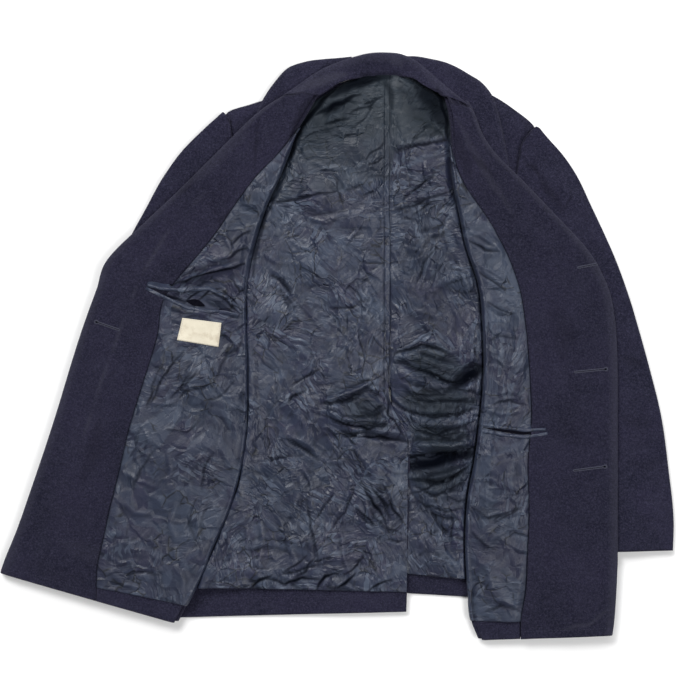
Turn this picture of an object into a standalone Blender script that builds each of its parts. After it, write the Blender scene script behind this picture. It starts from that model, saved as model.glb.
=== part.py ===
"""A wool pea coat laid on its back, fronts thrown open to show the lining.

Every panel is a wall of cloth. Its outline is a table with a row for each
section, and its height comes from what it lies on: the panels are placed from
the floor up, and each one rests on a height field of those below it.
Tables are in millimetres, seen from above: +X to the right, +Y to the collar.
"""
import math

import bmesh
import bpy
import numpy as np

MM = 0.001

# Cloth walls.
WOOL = 2.4
FACING = 2.2
LINING = 1.1
COLLAR = 3.0
JET = 1.6
LABEL = 0.8

# Clearances.
GAP = 0.4
SEAM = 0.3
FOLD_ROOM = 1.0
FOLD_GAP = 0.9
SETTLE = 0.8

# Plan depth of the rolled edges.
FOLD_REACH = 4.0
EDGE_REACH = 4.5
EDGE_TURN = 7.0
LINING_WRAP = 22.0
ROLL_ANGLE = 60.0

# The collar at the back of the neck.
ROLL_HEIGHT = 17.0
ROLL_REACH = 7.0
ROLL_ROOM = 2.0

# Sleeves: room between the two layers at the middle of a sleeve.
SLEEVE_ROOM = 3.2
BUTTON_DENT = 55.0

# Hems.
HEM_TURN = 40.0

# Buttons.
BUTTON_RADIUS = 15.0
BUTTON_THICK = 3.4
BUTTON_SIDES = 16

# Height field.
CELL = 4.0
FIELD_X = 520.0
FIELD_Y = 460.0

# Each front, a row for each section from gorge to hem: the inner fold, the
# hidden side seam, the roll line or front edge, the share of the width from
# the fold at which the lining meets the facing, and how far the lapel or the
# turned edge runs under.
# fold_x, fold_y, seam_x, seam_y, edge_x, edge_y, bound, lapel
FRONT_RIGHT = [
    (151, 349, 162, 374, 191, 336, 0.0, 26),
    (157, 326, 188, 366, 197, 322, 0.0, 30),
    (160, 295, 218, 356, 207, 296, 0.0, 34),
    (161, 262, 249, 337, 226, 269, 0.08, 44),
    (164, 226, 278, 309, 263, 232, 0.16, 64),
    (173, 184, 269, 285, 306, 187, 0.27, 70),
    (182, 141, 263, 245, 349, 141, 0.31, 54),
    (198, 92, 276, 174, 378, 94, 0.31, 20),
    (205, 38, 330, 77, 393, 38, 0.32, 7),
    (207, -40, 370, -8, 397, -36, 0.343, 7),
    (202, -103, 373, -86, 397, -107, 0.372, 7),
    (194, -164, 373, -157, 397, -178, 0.374, 7),
    (184, -221, 370, -221, 397, -242, 0.41, 7),
    (181, -290, 366, -292, 397, -306, 0.408, 7),
    (184, -349, 361, -349, 395, -363, 0.389, 7),
    (200, -418, 359, -386, 391, -410, 0.32, 7),
]
FRONT_LEFT = [
    (-28, 351, -32, 374, -80, 351, 0.0, 26),
    (-45, 322, -50, 361, -102, 337, 0.0, 30),
    (-60, 295, -87, 350, -127, 316, 0.06, 40),
    (-70, 266, -124, 339, -153, 290, 0.17, 56),
    (-83, 234, -158, 326, -190, 253, 0.29, 66),
    (-99, 200, -155, 299, -226, 217, 0.32, 70),
    (-116, 151, -147, 251, -272, 174, 0.355, 60),
    (-127, 103, -153, 188, -324, 123, 0.42, 26),
    (-129, 49, -188, 117, -342, 77, 0.547, 7),
    (-127, -8, -231, 49, -361, 26, 0.548, 7),
    (-127, -79, -238, -36, -380, -32, 0.582, 7),
    (-130, -143, -242, -107, -398, -92, 0.606, 7),
    (-141, -197, -246, -175, -417, -151, 0.6, 7),
    (-155, -242, -251, -235, -435, -204, 0.584, 7),
    (-174, -285, -255, -280, -455, -261, 0.556, 7),
    (-192, -330, -258, -326, -471, -300, 0.528, 7),
    (-224, -394, -259, -368, -479, -322, 0.46, 7),
]

# Back panels, from neck to hem: side seam and centre.
# left_x, left_y, right_x, right_y
BACK_RIGHT = [
    (75, 387, 148, 372),
    (75, 353, 188, 366),
    (75, 328, 218, 356),
    (75, 305, 249, 337),
    (75, 282, 278, 309),
    (75, 255, 269, 285),
    (75, 219, 263, 245),
    (75, 174, 276, 174),
    (76, 117, 330, 77),
    (77, 49, 361, 28),
    (75, -31, 373, -36),
    (76, -93, 373, -107),
    (63, -150, 373, -157),
    (60, -221, 370, -221),
    (60, -292, 364, -292),
    (60, -350, 360, -368),
]
BACK_LEFT = [
    (-2, 372, 75, 387),
    (-50, 361, 75, 353),
    (-87, 350, 75, 328),
    (-124, 339, 75, 305),
    (-158, 326, 75, 282),
    (-155, 299, 75, 255),
    (-147, 251, 75, 219),
    (-153, 188, 75, 174),
    (-188, 117, 76, 117),
    (-231, 49, 77, 49),
    (-238, -36, 75, -31),
    (-242, -107, 76, -93),
    (-246, -150, 98, -136),
    (-251, -235, 101, -221),
    (-255, -306, 100, -306),
    (-259, -388, 98, -378),
]
# From the start of the vent down, the left half lies over the right.
VENT_TOP = -55.0

# Back lining, to a little under the fronts.
LINING_BACK_LEFT = [
    (6, 370, 73, 386),
    (-31, 347, 73, 361),
    (-70, 312, 73, 322),
    (-110, 262, 73, 269),
    (-137, 205, 73, 205),
    (-160, 134, 75, 134),
    (-174, 63, 76, 63),
    (-177, -8, 73, -8),
    (-177, -72, 73, -76),
    (-180, -136, 97, -133),
    (-191, -192, 99, -192),
    (-204, -242, 98, -249),
    (-224, -292, 98, -299),
    (-241, -343, 97, -350),
]
LINING_BACK_RIGHT = [
    (76, 386, 137, 370),
    (76, 354, 177, 342),
    (76, 319, 205, 302),
    (76, 269, 211, 255),
    (76, 205, 219, 198),
    (78, 134, 235, 134),
    (79, 63, 252, 63),
    (76, -8, 256, -8),
    (76, -72, 255, -79),
    (84, -136, 248, -136),
    (86, -192, 238, -192),
    (86, -249, 232, -249),
    (86, -290, 231, -296),
    (86, -324, 231, -336),
]

# The collar along its roll line, from gorge to gorge: the roll, the foot of
# the stand, how far the fall runs under, and the height of the roll.
# roll_x, roll_y, foot_x, foot_y, fall, lift
COLLAR_ROLL = [
    (-78, 355, -33, 357, 10, 1.0),
    (-59, 368, -22, 357, 10, 1.0),
    (-38, 383, -11, 364, 10, 1.0),
    (-14, 397, 1, 372, 12, 1.0),
    (7, 406, 13, 377, 12, 1.0),
    (28, 413, 30, 381, 20, 0.0),
    (46, 417, 48, 383, 70, 0.0),
    (70, 418, 70, 383, 78, 0.0),
    (93, 415, 94, 383, 12, 0.0),
    (111, 406, 109, 379, 12, 1.0),
    (128, 392, 119, 372, 10, 1.0),
    (146, 376, 131, 365, 10, 1.0),
    (165, 360, 142, 360, 10, 1.0),
    (187, 341, 152, 355, 10, 1.0),
]
# The ends of the fall, face up over the shoulders: inner and outer edge.
LEAF_RIGHT = [
    (115, 388, 112, 410),
    (131, 376, 134, 406),
    (146, 366, 153, 401),
    (160, 355, 171, 394),
    (170, 343, 188, 384),
    (178, 330, 205, 373),
    (184, 316, 222, 351),
    (188, 302, 229, 329),
    (194, 282, 238, 290),
    (204, 258, 245, 253),
]
LEAF_LEFT = [
    (-100, 284, -138, 299),
    (-90, 304, -119, 322),
    (-78, 324, -107, 347),
    (-66, 344, -92, 370),
    (-55, 358, -70, 394),
    (-42, 371, -45, 406),
    (-23, 382, -20, 409),
    (-2, 391, 1, 410),
]

# Sleeves, from the shoulder to the cuff: body side and outer edge.
SLEEVE_RIGHT = [
    (278, 312, 288, 307),
    (265, 289, 316, 275),
    (258, 265, 340, 242),
    (255, 241, 360, 200),
    (245, 184, 383, 151),
    (235, 120, 403, 103),
    (231, 49, 420, 52),
    (239, -29, 442, -25),
    (259, -107, 461, -102),
    (285, -185, 472, -181),
    (309, -256, 479, -255),
    (324, -296, 478, -293),
]
SLEEVE_LEFT = [
    (-155, 320, -167, 329),
    (-150, 299, -191, 306),
    (-144, 273, -221, 276),
    (-140, 245, -244, 245),
    (-137, 198, -273, 194),
    (-138, 134, -300, 143),
    (-147, 56, -323, 75),
    (-164, -22, -342, -1),
    (-185, -107, -360, -82),
    (-207, -185, -376, -161),
    (-226, -256, -387, -235),
    (-236, -289, -391, -279),
]

# Outer buttons, three on each front.
BUTTONS_RIGHT = [(268, 103), (271, -40), (271, -184)]
BUTTONS_LEFT = [(-192, 117), (-236, -11), (-282, -143)]

# Main folds of the lining, ridges raised from the cloth.
# x0, y0, x1, y1, half_width, height
FOLDS_BACK_RIGHT = [
    (84, -12, 168, -10, 15, 8),
    (84, -48, 160, -62, 14, 7),
    (116, -88, 176, -94, 16, 9),
    (122, -128, 172, -122, 15, 10),
    (124, -170, 168, -176, 16, 8),
    (124, -212, 160, -240, 15, 6),
    (118, -268, 146, -306, 14, 5),
    (96, 168, 160, 92, 16, 5),
    (95, 290, 140, 226, 16, 5),
    (92, 88, 142, 26, 15, 5),
]
FOLDS_BACK_LEFT = [
    (-92, -68, 30, -114, 16, 7),
    (-50, -120, 62, -106, 15, 8),
    (-12, -84, 54, -92, 14, 6),
    (20, -142, 74, -196, 16, 7),
    (60, -174, 46, -262, 15, 6),
    (-88, -182, -20, -236, 16, 5),
    (-60, -262, 20, -318, 16, 5),
    (-88, 52, -20, -34, 16, 6),
    (-40, 126, 46, 36, 16, 5),
    (-60, 226, 30, 182, 16, 5),
    (-4, 324, 50, 252, 15, 5),
]
FOLDS_FRONT_RIGHT = [
    (212, 60, 232, -30, 13, 4),
    (236, -60, 210, -96, 13, 4),
    (205, -150, 250, -216, 14, 5),
    (232, -232, 206, -300, 13, 4),
    (212, -330, 246, -372, 13, 4),
]
FOLDS_FRONT_LEFT = [
    (-246, 92, -150, 114, 15, 7),
    (-262, 10, -176, -64, 14, 5),
    (-212, -30, -136, -104, 14, 5),
    (-290, -120, -170, -160, 15, 5),
    (-250, -176, -196, -262, 15, 5),
    (-320, -230, -250, -330, 14, 4),
    (-230, -300, -200, -356, 13, 4),
]
FOLDS_FACING_LEFT = [
    (-232, 196, -166, 244, 17, 4),
]

# Label: corner, then its width, height and turn in degrees.
LABEL_AT = (-226, 4)
LABEL_WIDTH = 56.0
LABEL_HEIGHT = 34.0
LABEL_TURN = -8.0

# Pocket jets: ends of each strip, its width, and how far its middle bows.
# x0, y0, x1, y1, width, bow
JETS = {
    "pocket_left_upper": (-271, 84, -140, 50, 7, 6),
    "pocket_left_lower": (-271, 75, -140, 41, 7, -8),
    "pocket_right_upper": (204, -111, 297, -117, 7, 0),
    "pocket_right_lower": (203, -124, 297, -128, 7, -2),
}

WOOL_COLOR = (0.022, 0.021, 0.042, 1)
LINING_COLOR = (0.048, 0.058, 0.092, 1)
LABEL_COLOR = (0.72, 0.66, 0.55, 1)
BUTTON_COLOR = (0.012, 0.012, 0.016, 1)


def clear_scene():
    """Remove what the scene holds before the model is built."""
    for thing in list(bpy.data.objects):
        bpy.data.objects.remove(thing)


def make_material(name, color, roughness):
    material = bpy.data.materials.new(name)
    material.use_nodes = True
    shader = material.node_tree.nodes["Principled BSDF"]
    shader.inputs["Base Color"].default_value = color
    shader.inputs["Roughness"].default_value = roughness
    shader.inputs["Metallic"].default_value = 0.0
    return material


def make_collection(name):
    collection = bpy.data.collections.new(name)
    bpy.context.scene.collection.children.link(collection)
    return collection


def through(table, count):
    """Rows on a smooth curve through a table's rows, evenly spaced on it."""
    knots = np.array(table, float)
    steps = np.linalg.norm(np.diff(knots[:, :4], axis=0), axis=1)
    at = np.concatenate(([0.0], np.cumsum(steps)))
    slope = np.gradient(knots, at, axis=0)
    places = np.linspace(0.0, at[-1], count)
    seg = np.clip(np.searchsorted(at, places, side="right") - 1, 0, len(at) - 2)
    width = (at[seg + 1] - at[seg])[:, None]
    t = (places - at[seg])[:, None] / width
    start, end = knots[seg], knots[seg + 1]
    curve = start * (1 + 2 * t) * (1 - t) ** 2 + end * t * t * (3 - 2 * t)
    return curve + width * (slope[seg] * t * (1 - t) ** 2
                            + slope[seg + 1] * t * t * (t - 1))


def spread(start, end, shares):
    """Points between two edge curves: a row for each section."""
    shares = np.array(shares, float)
    if shares.ndim == 1:
        shares = np.tile(shares, (len(start), 1))
    shares = shares[:, :, None]
    return start[:, None, :] * (1 - shares) + end[:, None, :] * shares


def even(count):
    return np.linspace(0.0, 1.0, count)


def unit(vectors):
    return vectors / np.linalg.norm(vectors, axis=-1, keepdims=True)


def ridges(plan, folds):
    """Height of the folds at each point, a soft ridge along each one."""
    rise = np.zeros(plan.shape[:2])
    for x0, y0, x1, y1, half_width, height in folds:
        start, along = np.array([x0, y0]), np.array([x1 - x0, y1 - y0])
        length = math.hypot(*along)
        along = along / length
        off = plan - start
        run = off @ along
        side = off[..., 0] * along[1] - off[..., 1] * along[0]
        past = np.maximum(np.maximum(-run, run - length), 0.0)
        rise += height * np.exp(-(side / half_width) ** 2
                                - (past / half_width) ** 2)
    return rise


class Field:
    """Heights, in millimetres, of the cloth laid so far."""

    def __init__(self, heights=None):
        self.columns = int(2 * FIELD_X / CELL) + 1
        self.rows = int(2 * FIELD_Y / CELL) + 1
        self.top = np.zeros((self.rows, self.columns))
        if heights is not None:
            self.top = heights.copy()

    def copy(self):
        return Field(self.top)

    def cover(self, things):
        """Raise the field to the top of each object's own mesh."""
        graph = bpy.context.evaluated_depsgraph_get()
        for thing in things:
            mesh = thing.evaluated_get(graph).to_mesh()
            mesh.calc_loop_triangles()
            points = np.array([v.co for v in mesh.vertices]) / MM
            for triangle in mesh.loop_triangles:
                self.cover_triangle(points[list(triangle.vertices)])
            thing.evaluated_get(graph).to_mesh_clear()

    def cover_sheet(self, points):
        """Raise the field to a grid of points."""
        rows, columns = points.shape[:2]
        for i in range(rows - 1):
            for j in range(columns - 1):
                a, b = points[i, j], points[i, j + 1]
                c, d = points[i + 1, j + 1], points[i + 1, j]
                self.cover_triangle(np.array([a, b, c]))
                self.cover_triangle(np.array([a, c, d]))

    def cover_triangle(self, corners):
        x = (corners[:, 0] + FIELD_X) / CELL
        y = (corners[:, 1] + FIELD_Y) / CELL
        area = (x[1] - x[0]) * (y[2] - y[0]) - (x[2] - x[0]) * (y[1] - y[0])
        if abs(area) < 1e-9:
            return
        i0, i1 = math.ceil(y.min()), math.floor(y.max())
        j0, j1 = math.ceil(x.min()), math.floor(x.max())
        if i1 < i0 or j1 < j0:
            return
        gy, gx = np.mgrid[i0:i1 + 1, j0:j1 + 1]
        w1 = ((gx - x[0]) * (y[2] - y[0]) - (x[2] - x[0]) * (gy - y[0])) / area
        w2 = ((x[1] - x[0]) * (gy - y[0]) - (gx - x[0]) * (y[1] - y[0])) / area
        w0 = 1 - w1 - w2
        inside = (w0 >= -1e-6) & (w1 >= -1e-6) & (w2 >= -1e-6)
        z = w0 * corners[0, 2] + w1 * corners[1, 2] + w2 * corners[2, 2]
        patch = self.top[i0:i1 + 1, j0:j1 + 1]
        patch[inside] = np.maximum(patch[inside], z[inside])

    def under(self, plan, reach=1):
        """Lowest free height at each point of a grid laid over the field."""
        x = (plan[..., 0] + FIELD_X) / CELL
        y = (plan[..., 1] + FIELD_Y) / CELL
        need = np.zeros(plan.shape[:2])
        for i in range(plan.shape[0] - 1):
            for j in range(plan.shape[1] - 1):
                xs, ys = x[i:i + 2, j:j + 2], y[i:i + 2, j:j + 2]
                i0 = max(math.floor(ys.min()) - reach + 1, 0)
                i1 = math.ceil(ys.max()) + reach
                j0 = max(math.floor(xs.min()) - reach + 1, 0)
                j1 = math.ceil(xs.max()) + reach
                high = self.top[i0:i1, j0:j1].max()
                block = need[i:i + 2, j:j + 2]
                np.maximum(block, high, out=block)
        return need


def relax(need, rounds=14):
    """Cloth over a set of lowest heights: smooth, and never below them."""
    z = need.copy()
    for _ in range(rounds):
        padded = np.pad(z, 1, mode="edge")
        around = (padded[:-2, 1:-1] + padded[2:, 1:-1]
                  + padded[1:-1, :-2] + padded[1:-1, 2:]) / 4
        z = np.maximum(need, 0.5 * z + 0.5 * around)
    return z


def rest_on(plan, field, gap=GAP, rounds=14):
    """Heights of a sheet laid over the field, and flat where that is bare."""
    need = field.under(plan)
    need = np.where(need > 0, need + gap, 0.0)
    return np.maximum(need, relax(need, rounds) - SETTLE)


def with_height(plan, z):
    return np.dstack((plan, z))


def rolled(low, high, outward, reach, off=0.0):
    """Three columns round a rolled edge, from a lower sheet to an upper one.

    low and high are the points where the two sheets end, outward is the plan
    direction of the roll, and reach is how far it stands out. A sheet that
    lies over the roll takes the same points, moved off it.
    """
    middle, half = (low + high) / 2, (high - low) / 2
    tall = half[:, 2:3]
    columns = []
    for degrees in (-ROLL_ANGLE, 0, ROLL_ANGLE):
        sine = math.sin(math.radians(degrees))
        cosine = math.cos(math.radians(degrees))
        point = middle + half * sine
        point[:, :2] += outward * reach * cosine
        slant = np.hypot(cosine / reach, sine / tall)
        point[:, :2] += outward * off * cosine / reach / slant
        point[:, 2:3] += off * sine / tall / slant
        columns.append(point)
    return np.stack(columns, axis=1)


def wall(name, points, thick, material, collection):
    """A wall of cloth on a grid of points, grown to the grid's upper side."""
    rows, columns = points.shape[:2]
    shape = bmesh.new()
    bmesh.ops.create_grid(shape, x_segments=columns - 1,
                          y_segments=rows - 1, size=1)
    shape.verts.ensure_lookup_table()
    for vertex, point in zip(shape.verts, points.reshape(-1, 3)):
        vertex.co = point * MM
    shape.normal_update()
    shape.faces.ensure_lookup_table()
    if shape.faces[0].normal.z < 0:
        bmesh.ops.reverse_faces(shape, faces=shape.faces)
    mesh = bpy.data.meshes.new(name)
    shape.to_mesh(mesh)
    shape.free()
    mesh.materials.append(material)
    mesh.shade_smooth()
    thing = bpy.data.objects.new(name, mesh)
    collection.objects.link(thing)
    solidify = thing.modifiers.new("cloth", "SOLIDIFY")
    solidify.thickness = thick * MM
    solidify.offset = 1.0
    return thing


class Coat:
    """The coat's pieces, and the heights of those laid so far."""

    def __init__(self):
        self.collection = make_collection("pea_coat")
        self.wool = make_material("wool", WOOL_COLOR, 0.9)
        self.satin = make_material("satin", LINING_COLOR, 0.45)
        self.tape = make_material("label_cloth", LABEL_COLOR, 0.8)
        self.plastic = make_material("button_plastic", BUTTON_COLOR, 0.4)
        self.field = Field()
        self.neck = Field()

    def place(self, name, points, thick, material, by_neck=True):
        thing = wall(name, points, thick, material, self.collection)
        self.field.cover([thing])
        if by_neck:
            self.neck.cover([thing])
        return thing

    def cover(self, points):
        self.field.cover_sheet(points)
        self.neck.cover_sheet(points)

    def lay(self, name, plan, thick, material, rise=0.0, field=None):
        """Lay one sheet on the field, or on another one that is given."""
        z = rest_on(plan, field or self.field) + rise
        return self.place(name, with_height(plan, z), thick, material)


def curves(table, count):
    """The two edge curves of a panel's table."""
    rows = through(table, count)
    return rows[:, 0:2], rows[:, 2:4]


def build_collar_fall(coat):
    """Where the collar's fall runs on the floor, under the back."""
    rows = through(COLLAR_ROLL, 24)
    roll, foot = rows[:, 0:2], rows[:, 2:4]
    inward = unit(foot - roll)
    middle = roll + inward * ROLL_REACH
    end = middle + inward * np.maximum(rows[:, 4:5], EDGE_TURN)
    lift = np.clip(rows[:, 5:6], 0.0, 1.0)
    coat.collar = (inward, spread(end, middle, even(3)),
                   spread(middle, foot, even(4)), lift)
    lying = coat.collar[1][lift[:, 0] < 0.05]
    coat.cover(with_height(lying, np.full(lying.shape[:2], COLLAR)))


def build_collar(coat):
    """The collar, folded on its roll line, over what its ends lie on."""
    inward, fall, stand, lift = coat.collar
    low = lift * rest_on(fall, coat.neck)
    seat = coat.neck.under(stand) + GAP
    crown = np.array([1.0, 0.8, 0.4, 0.0]) * (ROLL_HEIGHT - COLLAR)
    high = np.maximum(seat, low[:, -1:] + COLLAR + ROLL_ROOM)
    high = relax(np.maximum(high, (1 - lift) * crown), 4)
    lower = with_height(fall, low)
    upper = with_height(stand, high + COLLAR)
    arc = rolled(lower[:, -1], upper[:, 0], -inward, ROLL_REACH)
    points = np.concatenate((lower, arc, upper), axis=1)
    coat.place("collar", points, COLLAR, coat.wool)


def vent_rows(plan):
    """Which rows of a panel are low enough to lie in the vent."""
    return (plan[:, -1, 1] < VENT_TOP)[:, None]


def build_back(coat):
    """Both back panels, their turned hems, and the back lining."""
    before = coat.field.copy()
    left_field = before.copy()

    left, right = curves(BACK_RIGHT, 20)
    plan = spread(left + [SEAM / 2, 0], right, even(8))
    coat.lay("back_right", plan, WOOL, coat.wool)
    hem = hem_strip(plan)
    coat.lay("hem_right", hem, WOOL, coat.wool)
    left, right = curves(LINING_BACK_RIGHT, 32)
    plan = spread(left + [SEAM, 0], right, even(10))
    coat.lay("back_lining_right", plan, LINING, coat.satin,
             ridges(plan, FOLDS_BACK_RIGHT))

    left, right = curves(BACK_LEFT, 20)
    plan = spread(left, right - [SEAM / 2, 0], even(9))
    z = np.where(vent_rows(plan), rest_on(plan, coat.field),
                 rest_on(plan, before))
    points = with_height(plan, z)
    shell = coat.place("back_left", points, WOOL, coat.wool)
    left_field.cover([shell])
    hem = coat.lay("hem_left", hem_strip(plan), WOOL, coat.wool)
    left_field.cover([hem])
    left, right = curves(LINING_BACK_LEFT, 32)
    plan = spread(left, right - [SEAM, 0], even(13))
    z = np.where(vent_rows(plan), rest_on(plan, coat.field),
                 rest_on(plan, left_field))
    points = with_height(plan, z + ridges(plan, FOLDS_BACK_LEFT))
    coat.place("back_lining_left", points, LINING, coat.satin)


def hem_strip(plan):
    """Plan of the hem turned up on a panel, from its lowest section."""
    last, above = plan[-1], plan[-2]
    upward = unit(above - last)
    return np.stack([last + upward * HEM_TURN * share
                     for share in (1.0, 0.5, 0.01)])


class Front:
    """One front: where its fold, seam, edge and lining boundary run."""

    def __init__(self, table, count=24):
        rows = through(table, count)
        self.fold, self.seam = rows[:, 0:2], rows[:, 2:4]
        self.edge, self.bound = rows[:, 4:6], rows[:, 6:7]
        self.bound = np.clip(self.bound, 0.0, 1.0)
        self.lapel = np.maximum(rows[:, 7:8], EDGE_TURN)
        self.out = unit(self.edge - self.fold)
        self.back = unit(self.seam - self.fold)
        self.width = np.linalg.norm(self.edge - self.fold, axis=1)[:, None]
        self.first = int(np.argmax((self.bound * self.width)[:, 0] > 14.0))

    def across(self, start, end, count):
        """Plan of the open front between two distances from the fold."""
        return spread(self.fold + self.out * start,
                      self.fold + self.out * end, even(count))


def build_front(coat, front, plans, names, folds, columns):
    """A front folded back on itself, with its facing and lining."""
    sleeve, leaf = plans
    lining_inset = FOLD_REACH + LINING + FOLD_GAP
    first = front.first
    bound_at = front.bound * front.width

    # Lining, from under the fold.
    wrap_end = front.fold + front.back * (lining_inset + LINING_WRAP)
    wrap_start = front.fold + front.back * lining_inset
    under = spread(wrap_end, wrap_start, even(3))[first:]
    under_z = rest_on(under, coat.field)
    coat.cover(with_height(under, under_z + LINING))

    # Shell, from the side seam to the fold.
    lower = spread(front.seam, front.fold + front.back * lining_inset, even(5))
    lower_z = rest_on(lower, coat.field)
    coat.cover(with_height(lower, lower_z + WOOL))

    build_sleeve(coat, sleeve, names["sleeve"], names["dents"])
    rows = through(leaf, 12)
    plan = spread(rows[:, 0:2], rows[:, 2:4], even(4))
    coat.lay(names["leaf"], plan, COLLAR, coat.wool)
    build_buttons(coat, names["buttons"], names["dents"])

    # Lapel, or the turned edge, from its end to the roll.
    tip = front.edge - front.out * (EDGE_REACH + front.lapel)
    root = front.edge - front.out * EDGE_REACH
    lapel = spread(tip, root, even(3))
    lapel_z = rest_on(lapel, coat.field)
    coat.cover(with_height(lapel, lapel_z + FACING))

    # Shell, from the fold to the edge.
    upper = front.across(lining_inset, front.width - EDGE_REACH - 1.0,
                         columns)
    upper_z = rest_on(upper, coat.field, FOLD_ROOM)
    low = with_height(lower, lower_z)
    high = with_height(upper, upper_z + WOOL)
    fold = (low[:, -1], high[:, 0], -front.out, FOLD_REACH)
    points = np.concatenate((low, rolled(*fold), high), axis=1)
    coat.place(names["shell"], points, WOOL, coat.wool, by_neck=False)
    shell_field = coat.field.copy()

    # Hem of the front, turned up under the lining's end.
    rows = slice(-3, None)
    strip = front.across(2 * lining_inset, bound_at - SEAM, 4)[rows]
    strip_z = rest_on(strip, shell_field)
    coat.place(names["hem"], with_height(strip, strip_z), WOOL, coat.wool)
    lining_field = coat.field.copy()

    # Facing, round the roll line or edge.
    number = np.arange(len(front.fold))[:, None]
    inner = np.where(number >= first, bound_at + SEAM, lining_inset)
    face = front.across(front.width - EDGE_REACH, inner, 5)
    face_z = rest_on(face, shell_field)
    face_z = face_z + ridges(face, folds["facing"])
    high = with_height(face, face_z + FACING)
    low = with_height(lapel, lapel_z)
    arc = rolled(low[:, -1], high[:, 0], front.out, EDGE_REACH)
    coat.place(names["facing"], np.concatenate((low, arc, high), axis=1),
               FACING, coat.wool, by_neck=False)

    # Lining, over the fold.
    end = len(front.fold) - 1
    flat = front.across(lining_inset, bound_at - SEAM, 7)[first:end]
    flat_z = rest_on(flat, lining_field) + ridges(flat, folds["lining"])
    low = with_height(under, under_z)[:end - first]
    high = with_height(flat, flat_z + LINING)
    arc = rolled(*fold, LINING + FOLD_GAP / 2)[first:end]
    coat.place(names["lining"], np.concatenate((low, arc, high), axis=1),
               LINING, coat.satin, by_neck=False)


def build_sleeve(coat, table, name, dents):
    """The under and top layers of a sleeve that lies flat."""
    rows = through(table, 13)
    plan = spread(rows[:, 0:2], rows[:, 2:4], even(7))
    coat.lay(name + "_under", plan, WOOL, coat.wool)
    across = np.sin(np.pi * even(7))[None, :] ** 0.7
    room = np.tile(SLEEVE_ROOM * across, (len(plan), 1))
    for x, y in dents:
        far = np.linalg.norm(plan - [x, y], axis=2)
        room *= 1 - np.exp(-(far / BUTTON_DENT) ** 2)
    coat.lay(name + "_top", plan, WOOL, coat.wool, room)


def build_buttons(coat, name, places):
    """Round buttons with a rim, just clear of what lies under them."""
    for number, (x, y) in enumerate(places, start=1):
        patch = np.array([[[x - BUTTON_RADIUS, y - BUTTON_RADIUS],
                           [x + BUTTON_RADIUS, y - BUTTON_RADIUS]],
                          [[x - BUTTON_RADIUS, y + BUTTON_RADIUS],
                           [x + BUTTON_RADIUS, y + BUTTON_RADIUS]]], float)
        z = coat.field.under(patch).max() + GAP + BUTTON_THICK / 2
        shape = bmesh.new()
        bmesh.ops.create_cone(shape, cap_ends=True, segments=BUTTON_SIDES,
                              radius1=BUTTON_RADIUS * MM,
                              radius2=BUTTON_RADIUS * MM,
                              depth=BUTTON_THICK * MM)
        mesh = bpy.data.meshes.new(f"{name}_{number}")
        shape.to_mesh(mesh)
        shape.free()
        bmesh_move(mesh, (x * MM, y * MM, z * MM))
        mesh.materials.append(coat.plastic)
        button = bpy.data.objects.new(f"{name}_{number}", mesh)
        coat.collection.objects.link(button)
        bevel = button.modifiers.new("rim", "BEVEL")
        bevel.width = 0.8 * MM
        bevel.segments = 1
        coat.field.cover([button])


def bmesh_move(mesh, offset):
    """Move a mesh's points."""
    for vertex in mesh.vertices:
        vertex.co = [a + b for a, b in zip(vertex.co, offset)]


def build_jets(coat):
    """The cloth strips that edge the inner pockets."""
    for name, (x0, y0, x1, y1, width, bow) in JETS.items():
        share = even(9)[:, None]
        line = np.array([x0, y0]) * (1 - share) + np.array([x1, y1]) * share
        along = unit(np.array([x1 - x0, y1 - y0], float))
        side = np.array([-along[1], along[0]])
        line = line + side * bow * np.sin(np.pi * share)
        plan = spread(line - side * width / 2, line + side * width / 2, even(3))
        coat.lay(name, plan, JET, coat.satin)


def build_label(coat):
    """A cloth label sewn on the left front's lining."""
    turn = math.radians(LABEL_TURN)
    along = np.array([math.cos(turn), math.sin(turn)])
    up = np.array([-along[1], along[0]])
    share = even(4)[:, None, None]
    across = even(6)[None, :, None]
    plan = (np.array(LABEL_AT) + along * across * LABEL_WIDTH
            + up * share * LABEL_HEIGHT)
    coat.lay("label", plan, LABEL, coat.tape)


def build_coat():
    coat = Coat()
    build_collar_fall(coat)
    build_back(coat)
    build_front(
        coat, Front(FRONT_RIGHT), (SLEEVE_RIGHT, LEAF_RIGHT),
        {"sleeve": "sleeve_right", "leaf": "collar_fall_right",
         "buttons": "button_right", "dents": BUTTONS_RIGHT,
         "shell": "front_right", "hem": "front_hem_right",
         "facing": "facing_right", "lining": "front_lining_right"},
        {"facing": [], "lining": FOLDS_FRONT_RIGHT}, 7)
    build_front(
        coat, Front(FRONT_LEFT), (SLEEVE_LEFT, LEAF_LEFT),
        {"sleeve": "sleeve_left", "leaf": "collar_fall_left",
         "buttons": "button_left", "dents": BUTTONS_LEFT,
         "shell": "front_left", "hem": "front_hem_left",
         "facing": "facing_left", "lining": "front_lining_left"},
        {"facing": FOLDS_FACING_LEFT, "lining": FOLDS_FRONT_LEFT}, 9)
    build_collar(coat)
    build_jets(coat)
    build_label(coat)


clear_scene()
build_coat()
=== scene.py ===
"""The looks of the pea coat: fine cloth shells on the solids' own form.

The plan tables are the part's own, in millimetres from the middle of the coat:
+X to the right, +Y to the collar. Creases and small details are placed in the
photograph's frame, and `at` turns such a place into millimetres.
"""
import math

import bmesh
import bpy
import numpy as np
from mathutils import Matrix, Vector
from mathutils.bvhtree import BVHTree


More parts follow.
